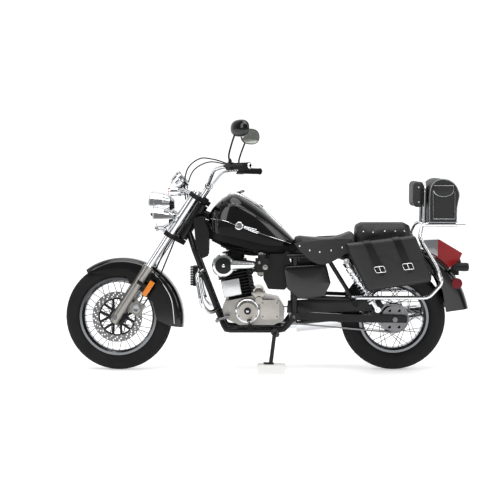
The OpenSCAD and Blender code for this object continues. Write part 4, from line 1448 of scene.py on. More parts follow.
@dataclass
class Mirrors:
    """Two mirrors on bent stems: stem, shell and glass."""

    middle: Place = (122.0, 335.0, 1322.0)
    foot: Place = (173.1, 299.8, 1143.6)
    half_width: float = 66.0
    half_height: float = 46.0
    turn: float = math.radians(48)
    stem_r: float = 5.0
    shell: Outline = (
        (-12, 0.97), (-12, 1.0), (-8, 1.01), (0, 0.98), (8, 0.9), (15, 0.74), (20, 0.5), (23, 0.2))
    glass: Outline = ((-12.0, 0.93), (-13.2, 0.92), (-13.6, 0.89))

    def build(self) -> None:
        """Make both mirrors."""
        for side, word in ((1, "left"), (-1, "right")):
            matrix = STANCE.steered() @ Matrix.Diagonal((1, side, 1, 1))
            head = matrix @ Matrix.Translation(self.middle) @ Matrix.Rotation(self.turn, 4, "Z")
            shell = Form()
            shell.ring_loft([self._ring(x, share) for x, share in self.shell])
            made = shell.piece(f"mirror_shell_{word}", head, Finishes.PAINT, 50)
            seat_on(made, "steering", "black_metal", "mirrors")
            glass = Form()
            glass.ring_loft([self._ring(x, share) for x, share in self.glass])
            made = glass.piece(f"mirror_glass_{word}", head, Finishes.MIRROR)
            seat_on(made, "steering", "chrome", "mirrors")
            stem = Form()
            foot, mid = Vector(self.foot), Vector(self.middle)
            stem.tube(smooth_path([foot, foot + Vector((6, 0, 40)), mid + Vector((30, -10, -50)),
                                   mid + Vector((8, 0, -4))], 8), self.stem_r, 12)
            stem.revolve([(0, -1), (10, -1), (10, 8), (7, 14), (5, 20), (0, 20)], foot, Z_AXIS, 20)
            made = stem.piece(f"mirror_stem_{word}", matrix, Finishes.SATIN)
            seat_on(made, "steering", "black_metal", "mirrors")

    def _ring(self, x: float, share: float) -> list[Place]:
        """Draw a rounded ring of the shell.

        Args:
            x: Depth of the ring.
            share: Its size as a share.

        Returns:
            The ring's points.
        """
        out = []
        for k in range(40):
            a = 2 * math.pi * k / 40
            c, s = math.cos(a), math.sin(a)
            out.append((x, self.half_width * share * math.copysign(abs(c) ** 0.8, c),
                        self.half_height * share * math.copysign(abs(s) ** 0.9, s)))
        return out


@dataclass
class Chain:
    """The drive chain's links round both sprockets."""

    rear: Pair = (STANCE.rear_x, STANCE.rear_r)
    rear_r: float = 77.8
    front: Pair = (-20.0, 318.0)
    front_r: float = 39.8
    side: float = 74.0
    pitch: float = 15.9
    outer_half: float = 4.1
    inner_half: float = 2.9

    def build(self) -> None:
        """Set the links along the loop."""
        line = self._loop()
        matrix = STANCE.body()
        facing = (matrix.to_3x3() @ Vector(Y_AXIS)).normalized()
        spots = []
        for a, b in zip(line, line[1:] + line[:1]):
            mid = matrix @ ((a + b) / 2)
            spots.append((mid, facing, (matrix.to_3x3() @ (b - a)).normalized()))
        for name, picked, half in (("chain_outer_links", spots[::2], self.outer_half),
                                   ("chain_inner_links", spots[1::2], self.inner_half)):
            links = Pattern().place(name, self._link(half), picked, Finishes.STEEL)
            seat_on(links, "frame", "steel", "chain")

    def _loop(self) -> list[Vector]:
        """Walk round both sprockets in even steps.

        Returns:
            Places along the chain's middle line.
        """
        a, b = Vector(self.rear), Vector(self.front)
        d = b - a
        tilt = math.atan2(d.y, d.x)
        spread = math.acos((self.rear_r - self.front_r) / d.length)
        raw = []
        for k in range(49):
            t = tilt + spread + (2 * math.pi - 2 * spread) * k / 48
            raw.append(a + Vector((math.cos(t), math.sin(t))) * self.rear_r)
        for k in range(33):
            t = tilt - spread + 2 * spread * k / 32
            raw.append(b + Vector((math.cos(t), math.sin(t))) * self.front_r)
        lengths = [(q - p).length for p, q in zip(raw, raw[1:] + raw[:1])]
        count = 2 * round(sum(lengths) / self.pitch / 2)
        step = sum(lengths) / count
        out, walked, i = [], 0.0, 0
        for n in range(count):
            want = n * step
            while walked + lengths[i] < want:
                walked += lengths[i]
                i += 1
            p = raw[i].lerp(raw[(i + 1) % len(raw)], (want - walked) / lengths[i])
            out.append(Vector((p.x, self.side, p.y)))
        return out

    def _link(self, half: float) -> Form:
        """Make one pair of link plates with a roller.

        Args:
            half: Half the distance between the plates.

        Returns:
            The link, its run along X and its pin along Z.
        """
        form = Form()
        for z in (-half, half):
            ring_low, ring_high = [], []
            for k in range(24):
                a = 2 * math.pi * k / 24
                waist = 0.72 + 0.28 * abs(math.cos(a)) ** 0.5
                x, y = math.cos(a) * 10.6, math.sin(a) * 5.2 * waist
                ring_low.append((x, y, z - 0.6))
                ring_high.append((x, y, z + 0.6))
            form.ring_loft([ring_low, ring_high])
        form.revolve([(0, -half - 1.2), (2.2, -half - 1.2), (2.2, -2.6), (4, -2.6), (4, 2.6), (2.2, 2.6),
                      (2.2, half + 1.2), (0, half + 1.2)], (self.pitch / 2, 0, 0), Z_AXIS, 12)
        return form


@dataclass
class Shocks:
    """The rear shocks: bright covers, coil springs, rods and eyes."""

    top: Place = (-434.0, 150.0, 618.0)
    low: Place = (-608.0, 150.0, 352.0)
    coil_r: float = 23.0
    wire_r: float = 4.4
    turns: int = 10
    coil_from: float = 66.0
    coil_ends: float = 128.0

    def build(self) -> None:
        """Make both shocks."""
        a, b = Vector(self.top), Vector(self.low)
        axis = (b - a).normalized()
        length = (b - a).length
        body = Form()
        body.revolve([(0, 4), (9, 4), (9, 34), (26, 36), (27, 40), (27, 62), (25, 64), (18, 66), (18, 150),
                      (11, 152), (11, length - 64), (20, length - 62), (27, length - 58), (27, length - 50),
                      (12, length - 46), (12, length - 12), (0, length - 12)], a, axis, 36)
        for p in (a, b):
            body.revolve([(8, -15), (16, -15), (16, 15), (8, 15), (8, -15)], p, Y_AXIS, 28)
            body.revolve([(0, 15.5), (11, 15.5), (11, 20), (8, 23), (0, 23)], p, Y_AXIS, 6)
        body.mirrored()
        body.fix("shock_bodies", Finishes.CHROME, "chrome", "shocks")
        coil = Form()
        x = axis.orthogonal().normalized()
        y = axis.cross(x)
        path = []
        steps = self.turns * 18
        for k in range(steps + 1):
            t = k / steps
            turn = 2 * math.pi * self.turns * t
            around = (x * math.cos(turn) + y * math.sin(turn)) * self.coil_r
            path.append(a + axis * (self.coil_from + (length - self.coil_ends) * t) + around)
        coil.tube(path, self.wire_r, 8)
        coil.mirrored()
        coil.fix("shock_coils", Finishes.CHROME, "chrome", "shocks")


def laid_on(obj: Object, path: Sequence[Pair], lift: float) -> list[Vector]:
    """Drop a side-on path onto the left face of an object.

    Args:
        obj: Object whose surface is met.
        path: Upright X and Z places.
        lift: Distance off the surface, millimetres.

    Returns:
        Upright places on the surface.
    """
    tree = tree_of(obj)
    matrix = STANCE.body()
    back = matrix.inverted()
    towards = (matrix.to_3x3() @ Vector((0, -1, 0))).normalized()
    out = []
    for x, z in path:
        start = matrix @ Vector((x, 400, z))
        spot, normal, _, _ = tree.ray_cast(start, towards)
        if spot is not None:
            out.append(back @ (spot + normal * lift * MM))
    return out


@dataclass
class TankTrim:
    """Beads, bright side trim and a plain round emblem on the tank."""

    bead: Outline = (
        (283, 905), (220, 925), (124, 905), (60, 868), (-20, 812), (-90, 752), (-140, 715))
    trim: Outline = (
        (318, 848), (270, 845), (223, 837), (151, 810), (60, 779), (-60, 738), (-148, 706))
    emblem: Pair = (151.0, 812.0)
    emblem_r: float = 22.0

    def build(self) -> None:
        """Make the trim on both sides."""
        skin = bpy.data.objects["tank_skin"]
        lines = Form()
        lines.tube(smooth_path(laid_on(skin, smooth_path_2d(self.bead, 6), 0.4), 2), 2.4, 8)
        lines.mirrored()
        lines.fix("tank_bead", Finishes.PAINT, "black_paint")
        bright = Form()
        bright.tube(laid_on(skin, smooth_path_2d(self.trim, 6), 1.0), 3.4, 8, 0.6)
        spot = laid_on(skin, [self.emblem], 0.0)[0]
        profile = [(0, -3), (self.emblem_r, -3), (self.emblem_r, 3.0), (self.emblem_r - 3, 5.0),
                   (self.emblem_r - 5, 3.4), (0, 4.2)]
        bright.revolve(profile, spot, (0.1, 1, 0.22), 40)
        for lean, reach in ((-9, 74), (0, 82), (9, 70)):
            run = [(self.emblem[0] - self.emblem_r - 4 - k * reach / 8,
                    self.emblem[1] - 7 - k * reach / 8 * 0.34 + lean * (0.6 + 0.06 * k)) for k in range(9)]
            bright.tube(laid_on(skin, run, 1.0), 2.6, 8, 0.7)
        bright.mirrored()
        bright.fix("tank_trim", Finishes.CHROME, "chrome")


def smooth_path_2d(points: Sequence[Pair], per_span: int) -> list[Pair]:
    """Run a smooth curve through places in a plane."""
    return [(p.x, p.z) for p in smooth_path([(x, 0, z) for x, z in points], per_span)]


@dataclass
class Console:
    """The bright console along the tank's crown, with its filler cap and ignition lock."""

    table: tuple[Place, ...] = (
        (252, 20, 955), (225, 30, 972), (180, 36, 996), (90, 38, 958), (0, 34, 892), (-80, 20, 816),
        (-88, 14, 806))
    thick: float = 24.0
    cap: Place = (150.0, 0.0, 990.0)
    lock: Place = (30.0, 0.0, 914.0)

    def build(self) -> None:
        """Make the console."""
        rows = smooth_rows(self.table, 5)
        form = Form()
        form.ring_loft([pillow_ring(x, half, top, top - self.thick, 0.55, 36) for x, half, top in rows])
        form.fix("console_skin", Finishes.CHROME, "chrome", "tank_console", smooth=60)
        fittings = Form()
        fittings.revolve([(0, -6), (30, -6), (30, 4), (28, 7), (22, 8), (20, 6), (0, 7)], self.cap,
                         (0.3, 0, 1), 40)
        fittings.revolve([(0, -4), (13, -4), (13, 5), (9, 7), (0, 7)], self.lock, (-0.5, 0, 1), 28)
        fittings.fix("console_fittings", Finishes.STEEL, "chrome")


@dataclass
class EngineTrim:
    """Screws, hub and rim on the left engine covers, and the air cleaner's face and bolt."""

    face: float = 112.3
    round_cover: Pair = (105.0, 343.0)
    round_screws_r: float = 56.0
    round_screws_y: float = 32.4
    side_screws: Outline = ((-58, 388), (22, 388), (-58, 312), (22, 312))
    side_screws_y: float = 26.0
    air: Place = (236.0, 172.0, 596.0)

    def build(self) -> None:
        """Make the trim."""
        steady = STANCE.body()
        out = (steady.to_3x3() @ Vector(Y_AXIS)).normalized()
        x0, z0 = self.round_cover
        r = self.round_screws_r
        spots = []
        for k in range(6):
            a = math.radians(30 + 60 * k)
            spots.append((x0 + r * math.cos(a), self.face + self.round_screws_y, z0 + r * math.sin(a)))
        spots.extend((x, self.face + self.side_screws_y, z) for x, z in self.side_screws)
        facing = [(steady @ Vector(p), out) for p in spots]
        screws = Fasteners(Head.ROUND).place("cover_screws", facing, 5.2, 3.2, Finishes.STEEL)
        seat_on(screws, "frame", "steel")
        disc = Form()
        disc.revolve([(0, 0), (46, 0), (46, 4), (44, 6), (40, 6.5), (30, 9), (16, 11), (0, 11.6)], self.air,
                     Y_AXIS, 48)
        disc.fix("air_cleaner_face", Finishes.PLASTIC, "black_metal")
        at = (x0, self.face, z0)
        hub = Form()
        hub.revolve([(0, 35.6), (19, 35.6), (19, 38), (12, 39), (0, 39)], at, Y_AXIS, 32)
        hub.fix("round_cover_hub", Finishes.PLASTIC, "black_metal")
        rim = Form()
        rim.revolve([(57, 32.6), (64, 29.8), (66.4, 26), (67, 28.6), (64.6, 32.6), (58.6, 35), (57, 32.6)],
                    at, Y_AXIS, 56)
        rim.revolve([(0, 38.8), (8, 38.8), (8, 42), (5, 44), (0, 44)], at, Y_AXIS, 6)
        rim.fix("round_cover_rim", Finishes.CHROME, "chrome")
        bolt = Form()
        bolt.revolve([(0, 11), (9, 11), (9, 15), (6, 18), (0, 18.5)], self.air, Y_AXIS, 24)
        bolt.fix("air_cleaner_bolt", Finishes.CHROME, "chrome")


@dataclass
class SeatFlaps:
    """The studded side flaps of the rider's seat."""

    outline: Outline = (
        (-150, 716), (-190, 668), (-240, 622), (-300, 600), (-350, 612), (-400, 640), (-440, 668),
        (-462, 720), (-455, 742), (-300, 736))
    studs: Outline = (
        (-180, 702), (-235, 678), (-290, 669), (-353, 678), (-413, 694))
    inner: float = 147.4
    thick: float = 5.0
    stud_lift: float = 0.2

    def build(self) -> None:
        """Make the flaps and their studs."""
        flap = Form()
        flap.plate(smooth_path_2d(self.outline, 3), self.inner, self.thick, 1.6)
        flap.mirrored()
        flap.fix("seat_flaps", Finishes.SEAT, "seat_leather", "rider_seat")
        steady = STANCE.body()
        spots = []
        for side in (1, -1):
            normal = (steady.to_3x3() @ Vector((0, side, 0))).normalized()
            y = side * (self.inner + self.thick + self.stud_lift)
            spots.extend((steady @ Vector((x, y, z)), normal) for x, z in self.studs)
        studs = Fasteners(Head.DOME).place("flap_studs", spots, 5.6, 3.6, Finishes.CHROME)
        seat_on(studs, "frame", "chrome", "rider_seat")


@dataclass
class BarTrim:
    """Ribbed grips, bright bar-end rings and the gauge's dial."""

    end: Place = (62.0, 385.0, 1122.0)
    elbow: Place = (212.0, 270.0, 1122.0)
    gauge: Place = (486.0, 0.0, 1052.0)
    gauge_tilt: float = math.radians(-48)

    def build(self) -> None:
        """Make the trim on both sides."""
        end = Vector(self.end)
        run = (Vector(self.elbow) - end).normalized()
        grips = Form()
        profile = [(11.6, -2.0), (17.6, -2.0), (19.0, 0.0), (19.0, 5.0), (17.0, 7.0)]
        for k in range(24):
            s = 9 + k * 4.3
            profile.extend([(16.6, s), (17.4, s + 1.2), (17.4, s + 2.6), (16.6, s + 3.8)])
        profile.extend([(16.8, 113.5), (18.6, 114.5), (18.6, 116.0), (11.6, 116.0)])
        grips.revolve(profile + profile[:1], end, run, 28)
        grips.mirrored()
        grips.steer("grip_sleeves", Finishes.RUBBER, "rubber", "grips")
        caps = Form()
        caps.revolve([(9, -2.6), (9, -6), (13, -7.5), (16.5, -6), (17.6, -2.6), (9, -2.6)], end, run, 28)
        caps.mirrored()
        caps.steer("bar_end_rings", Finishes.CHROME, "chrome")
        self._dial()

    def _dial(self) -> None:
        """Lay the dial, its marks and its needle in the gauge cup."""
        tilt = Matrix.Rotation(self.gauge_tilt, 4, "Y")
        cup = STANCE.steered() @ Matrix.Translation(self.gauge) @ tilt
        face = Form()
        face.revolve([(0, 36.2), (44, 34.6), (44, 35.4), (0, 37.0)], ORIGIN, Z_AXIS, 48)
        seat_on(face.piece("gauge_dial", cup, Finishes.DIAL), "steering", "chrome")
        marks = Form()
        for k in range(25):
            a = math.radians(-30 + 240 * k / 24)
            inner = 33 if k % 3 == 0 else 36
            c, s = math.cos(a), math.sin(a)
            marks.tube([(inner * c, inner * s, 37.0), (41 * c, 41 * s, 36.6)], 0.8, 6)
        marks.tube([(0, 0, 38.4), (-20, 22, 38.2)], 1.2, 6)
        marks.revolve([(0, 37), (4, 37), (4, 39.4), (0, 39.8)], ORIGIN, Z_AXIS, 16)
        seat_on(marks.piece("gauge_marks", cup, Finishes.PLASTIC), "steering", "black_metal")


@dataclass
class BrakeTrim:
    """The drilled brake disc on its dark carrier, and the caliper's round cover."""

    middle: Place = (STANCE.front_x, 60.0, STANCE.front_r)
    outer: float = 140.0
    inner: float = 105.0
    half: float = 2.5
    hole_r: float = 4.4
    rows: tuple[float, ...] = (113.5, 122.5, 131.5)
    groups: int = 24
    arms: int = 6
    arm_lean: float = 17.0
    arm_from: float = 40.0
    arm_to: float = 103.0
    rivets_r: float = 107.0
    caliper: Place = (-70.0, 101.2, 102.0)

    def build(self) -> None:
        """Make the disc, its carrier and the cover."""
        matrix = STANCE.steered() @ Matrix.Translation(self.middle)
        t = self.half
        ring = Form()
        ring.revolve([(self.inner, -t), (self.outer, -t), (self.outer, t), (self.inner, t), (self.inner, -t)],
                     ORIGIN, Y_AXIS, 96)
        disc = ring.piece("drilled_disc", matrix, Finishes.STEEL)
        drills = Form()
        for k in range(self.groups):
            for i, r in enumerate(self.rows):
                a = 2 * math.pi * (k + 0.33 * i) / self.groups
                drills.revolve([(0, -8), (self.hole_r, -8), (self.hole_r, 8), (0, 8)],
                               (r * math.cos(a), 0, r * math.sin(a)), Y_AXIS, 14)
        cut_out(disc, drills.piece("drills", matrix, Finishes.STEEL))
        seat_on(disc, "front_wheel", "steel", "brake_disc")
        carrier = Form()
        carrier.revolve([(97, -t), (106, -t), (106, -t - 1), (97, -t - 1), (97, -t)], ORIGIN, Y_AXIS, 72)
        carrier.revolve([(20, -3), (46, -3), (46, 3), (38, 6), (24, 6), (20, 3), (20, -3)], ORIGIN,
                        Y_AXIS, 48)
        out = (matrix.to_3x3() @ Vector(Y_AXIS)).normalized()
        rivets = []
        for k in range(self.arms):
            a = math.radians(360 * k / self.arms)
            for lean in (-self.arm_lean, self.arm_lean):
                b = math.radians(360 * k / self.arms + lean)
                c, s = math.cos(b), math.sin(b)
                foot = (self.arm_from * math.cos(a), 0, self.arm_from * math.sin(a))
                carrier.tube([foot, (self.arm_to * c, -1, self.arm_to * s)], 2.2, 10, 3.4)
                rivets.append((matrix @ Vector((self.rivets_r * c, t, self.rivets_r * s)), out))
        made = carrier.piece("disc_carrier", matrix, Finishes.SATIN)
        seat_on(made, "front_wheel", "black_metal", "brake_disc")
        made = Fasteners(Head.ROUND).place("disc_rivets", rivets, 5.5, 2.4, Finishes.COVER)
        seat_on(made, "front_wheel", "steel", "brake_disc")
        cover = Form()
        cover.revolve([(0, 0), (23, 0), (23, 3), (20, 5.5), (15, 5.5), (13, 4), (0, 4.5)], self.caliper,
                      Y_AXIS, 40)
        seat_on(cover.piece("caliper_cover", STANCE.leg(), Finishes.PIPING), "steering", "black_metal")


def cut_out(obj: Object, tool: Object) -> None:
    """Cut one closed mesh out of another and drop the tool.

    Args:
        obj: Mesh object that is cut.
        tool: Mesh object that cuts.
    """
    step = obj.modifiers.new("cut", "BOOLEAN")
    step.operation = "DIFFERENCE"
    step.object = tool
    step.solver = "EXACT"
    made = bpy.data.meshes.new_from_object(obj.evaluated_get(bpy.context.evaluated_depsgraph_get()))
    obj.modifiers.remove(step)
    obj.data = made
    bpy.data.objects.remove(tool)
    shade(obj, SMOOTH_ANGLE)


@dataclass
class Fender:
    """A fender's thin shell with a rounded crown, swept about its middle.

    Attributes:
        name: Object name.
        node: CAD node that it replaces.
        body: Body that it rides on.
        matrix: From upright millimetres to the shared frame.
        middle: X and Z of the arc's middle.
        r: Crown radius.
        half: Half width.
        depth: Largest drop of the sides.
        start: First angle from straight ahead, degrees.
        stop: Last angle, degrees.
        edge: Lower edge of the sides in X and Z, or nothing where the whole depth stays.
        corner: Rounding of the crown's edges.
        thick: Thickness of the sheet.
        flare: How far the tail's tip turns outwards.
        flare_run: Angle over which it does, degrees.
        deepen: How much further the sides reach down at the tail.
        deepen_run: Angle over which they do, degrees.
    """

    name: str
    node: str
    body: str
    matrix: Matrix
    middle: Pair
    r: float
    half: float
    depth: float
    start: float
    stop: float
    edge: Outline = ()
    corner: float = 38.0
    thick: float = 3.0
    flare: float = 0.0
    flare_run: float = 14.0
    deepen: float = 0.0
    deepen_run: float = 46.0

    def build(self) -> None:
        """Make the shell."""
        count = 72
        form = Form()
        form.ring_loft([self._section(math.radians(self.start + (self.stop - self.start) * k / count))
                        for k in range(count + 1)])
        seat_on(form.piece(self.name, self.matrix, Finishes.PAINT, 55), self.body, "black_paint", self.node)

    def _drop(self, angle: float) -> float:
        """Measure the side below the crown.

        Args:
            angle: Angle from straight ahead.

        Returns:
            How far it reaches down.
        """
        if not self.edge:
            share = max(0.0, 1 - (math.radians(self.stop) - angle) / math.radians(self.deepen_run))
            return self.depth + self.deepen * share * share * (3 - 2 * share)
        drop = self.corner * 0.4
        while drop < self.depth:
            x, z = self._at(angle, self.r - drop)
            if z < self._edge_height(x):
                break
            drop += 1.0
        return drop

    def _edge_height(self, x: float) -> float:
        """Look up the side's lower edge.

        Args:
            x: Place along the machine.

        Returns:
            Height of the edge.
        """
        for (x0, z0), (x1, z1) in zip(self.edge, self.edge[1:]):
            if x1 <= x <= x0:
                return z0 + (z1 - z0) * (x0 - x) / (x0 - x1)
        return self.edge[-1][1]

    def _at(self, angle: float, r: float) -> Pair:
        """Return X and Z at an angle and a distance from the middle."""
        return self.middle[0] + r * math.cos(angle), self.middle[1] + r * math.sin(angle)

    def _section(self, angle: float) -> list[Place]:
        """Draw the shell's closed section.

        Args:
            angle: Angle from straight ahead.

        Returns:
            The ring's points.
        """
        drop = self._drop(angle)
        tail = max(0.0, 1 - (math.radians(self.stop) - angle) / math.radians(self.flare_run))
        lift = self.flare * tail ** 2
        ring = []
        for skin in (0.0, self.thick):
            half, r = self.half - skin, self.r - skin
            corner = min(self.corner, drop * 0.8)
            line = [(half, self.r - drop), (half, r - corner - (drop - corner) * 0.5)]
            for k in range(13):
                t = math.pi / 2 * k / 12
                line.append((half * (0.35 + 0.65 * math.cos(t)), r - corner + corner * math.sin(t)))
            line += [(-y, q) for y, q in reversed(line)]
            ring += line if skin == 0.0 else line[::-1]
        return [(self._at(angle, q + lift)[0], y, self._at(angle, q + lift)[1]) for y, q in ring]


@dataclass
class UnderTank:
    """What fills the space under the tank, and the chain guard."""

    box: Outline = (
        (4, 622), (4, 520), (-18, 474), (-94, 470), (-118, 500), (-122, 600), (-104, 640), (-30, 640))
    box_in: float = 84.0
    box_thick: float = 18.0
    box_corner: float = 14.0
    guard: Outline = (
        (-112, 326), (-118, 396), (-300, 406), (-540, 414), (-628, 400), (-652, 366), (-640, 352),
        (-610, 342), (-540, 336), (-300, 330))
    tunnel: tuple[tuple[float, ...], ...] = (
        (340, 30, 838, 738), (322, 38, 834, 738), (306, 46, 806, 740), (250, 66, 788, 722),
        (170, 74, 768, 700), (80, 76, 740, 676), (0, 74, 722, 660), (-70, 66, 716, 650),
        (-132, 58, 716, 644), (-200, 50, 716, 650))
    guard_in: float = 85.5
    guard_thick: float = 3.0
    loom_r: float = 8.0
    looms: tuple[tuple[Place, ...], ...] = (
        ((318, 34, 742), (230, 50, 716), (120, 54, 694), (0, 58, 668), (-120, 62, 640)),
        ((300, 22, 728), (210, 60, 690), (110, 66, 676), (10, 70, 660), (-112, 74, 650)),
        ((250, 64, 700), (160, 78, 664), (80, 74, 650), (30, 66, 652)))

    def build(self) -> None:
        """Make the pieces."""
        box = Form()
        box.plate(rounded_outline(self.box, self.box_corner), self.box_in, self.box_thick, 3.0)
        box.mirrored()
        box.fix("air_box_faces", Finishes.PLASTIC, "black_metal")
        # The satin-black tunnel and the coil block fill the space under the tank: partly the dark frame,
        # wiring and coil there, partly painted shade under the tank.
        tunnel = Form()
        rows = smooth_rows(self.tunnel, 4)
        tunnel.ring_loft([pillow_ring(x, half, top, low, 0.35, 24) for x, half, top, low in rows])
        tunnel.fix("tank_tunnel", Finishes.SATIN, "black_metal")
        coil = Form()
        coil.block((150, 0, 690), (150, 84, 40), 6, 3)
        coil.block((60, 0, 668), (70, 60, 34), 5, 3)
        coil.revolve([(0, 0), (17, 0), (17, 40), (12, 46), (0, 46)], (60, 30, 668), Y_AXIS, 28)
        coil.fix("ignition_coil", Finishes.SATIN, "black_metal")
        loom = Form()
        for path in self.looms:
            loom.tube(smooth_path(path, 8), self.loom_r, 10)
        loom.mirrored()
        loom.fix("wiring_loom", Finishes.RUBBER, "rubber")
        guard = Form()
        guard.plate(self.guard, self.guard_in, self.guard_thick, 1.0)
        guard.fix("chain_guard", Finishes.FRAME, "black_paint")


@dataclass
class SidePanels:
    """The bulged side covers, head cover, fork reflectors, carburettor fittings and starter motor."""

    cover: Outline = (
        (-114, 572), (-314, 584), (-335, 500), (-306, 440), (-184, 427), (-126, 476))
    cover_in: float = 136.2
    swell: Outline = (
        (1.0, 0.0), (1.0, 3.6), (0.985, 6.2), (0.95, 8.0), (0.85, 9.2), (0.6, 9.9), (0.25, 10.1))
    lens: Place = (-68.0, 132.2, 236.0)
    barrel: Place = (146.0, 0.0, 410.4)
    barrel_lean: float = math.radians(11)

    def build(self) -> None:
        """Make the pieces."""
        panel = Form()
        outline = rounded_outline(self.cover, 16)
        panel.ring_loft([[(p.x, self.cover_in + out, p.y) for p in drawn_in(outline, share)]
                         for share, out in self.swell])
        panel.mirrored()
        panel.fix("side_panels", Finishes.PAINT, "black_paint", "side_covers", smooth=50)
        lens = Form()
        lens.block(self.lens, (28, 8, 92), 3, 3)
        lens.mirrored()
        seat_on(lens.piece("fork_reflector_lenses", STANCE.leg(), Finishes.AMBER), "steering", "amber_lens",
                "fork_reflectors")
        stay = Form()
        stay.block((-25, 129.4, 236), (62, 3.6, 20), 1.2)
        stay.block((-68, 129.0, 236), (33, 2.6, 97), 1.0)
        stay.mirrored()
        seat_on(stay.piece("fork_reflector_stays", STANCE.leg(), Finishes.SATIN), "steering", "black_metal",
                "fork_reflectors")
        lean = Matrix.Rotation(self.barrel_lean, 4, "Y")
        leaning = STANCE.body() @ Matrix.Translation(self.barrel) @ lean
        head = Form()
        head.block((36, 100.4, 64), (100, 14, 92), 5, 3)
        # the head cover's pale finish is a painted reflection
        seat_on(head.piece("head_cover_skin", leaning, Finishes.PAINTED_REFLECTION_COVER, 50), "frame", "chrome", "head_cover")
        self._carburettor()
        starter = Form()
        starter.revolve([(0, -60), (33, -60), (33, 100), (36, 104), (36, 116), (31, 121), (12, 123),
                         (0, 123)], (42, 0, 438), Y_AXIS, 44)
        starter.fix("starter_motor", Finishes.COVER, "alloy")

    @staticmethod
    def _carburettor() -> None:
        """Put the top cap, bowl, screws and idle knob on the carburettor."""
        bright = Form()
        bright.revolve([(0, 0), (20, 0), (20, 8), (15, 14), (0, 14)], (30, 100, 650.4), Z_AXIS, 32)
        bright.revolve([(0, 0), (21, 0), (21, 16), (14, 22), (6, 22), (5, 28), (0, 28)], (30, 100, 555.6),
                       (0, 0, -1), 32)
        bright.revolve([(0, 0), (8, 0), (8, 10), (5, 13), (0, 13)], (40, 142.4, 610), Y_AXIS, 24)
        bright.revolve([(0, 0), (14, 0), (14, 5), (10, 8), (0, 8)], (8, 142.4, 584), Y_AXIS, 28)
        bright.fix("carburettor_fittings", Finishes.ALLOY, "alloy")


@dataclass
class Brightwork:
    """The front fender's bead, the tail lamp's bright base and the cables from the bar."""

    bead: Outline = ((322, 116), (318, 124), (308, 142), (303, 160), (300, 184))
    bead_middle: Place = (802.0, 66.6, 282.0)
    lamp_base: Outline = (
        (-866.5, 682), (-866.5, 727), (-950, 731.6), (-950, 634), (-916, 654.5))
    lamp_half: float = 52.9
    cable_r: float = 3.6
    cable: tuple[Place, ...] = (
        (196, 280, 1139), (262, 262, 1160), (345, 205, 1168), (420, 130, 1120), (448, 70, 1030),
        (444, 44, 950))

    def build(self) -> None:
        """Make the bright pieces and the cables."""
        x0, y0, z0 = self.bead_middle
        turns = [(r, math.radians(a)) for r, a in self.bead]
        line = [(x0 + r * math.cos(a), y0, z0 + r * math.sin(a)) for r, a in turns]
        bead = Form()
        bead.tube(smooth_path(line, 8), 3.2, 8)
        bead.mirrored()
        bead.steer("fender_bead", Finishes.CHROME, "chrome")
        base = Form()
        base.plate(self.lamp_base, -self.lamp_half, 2 * self.lamp_half, 3.0)
        base.fix("tail_lamp_base", Finishes.CHROME, "chrome")
        for side, word in ((1, "left"), (-1, "right")):
            matrix = STANCE.steered() @ Matrix.Diagonal((1, side, 1, 1))
            path = smooth_path(self.cable, 10)
            tube = Form()
            tube.tube(path, self.cable_r, 10)
            cable = seat_on(tube.piece(f"bar_cable_{word}", matrix, Finishes.RUBBER), "steering", "rubber")


def fade_along_y(tree: NodeTree, source: str, run: Pair,
                 values: Pair) -> bpy.types.NodeSocket:
    """Add a value that fades smoothly along Y.

    Args:
        tree: Tree of a material or of the world.
        source: Coordinates that are followed.
        run: Y where the fade starts and ends.
        values: Value before and after the fade.

    Returns:
        The socket with the value.
    """
    where = tree.nodes.new("ShaderNodeTexCoord")
    parts = tree.nodes.new("ShaderNodeSeparateXYZ")
    span = tree.nodes.new("ShaderNodeMapRange")
    span.interpolation_type = "SMOOTHSTEP"
    set_inputs(span, {"From Min": run[0], "From Max": run[1], "To Min": values[0], "To Max": values[1]})
    tree.links.new(where.outputs[source], parts.inputs["Vector"])
    tree.links.new(parts.outputs["Y"], span.inputs["Value"])
    return span.outputs["Result"]


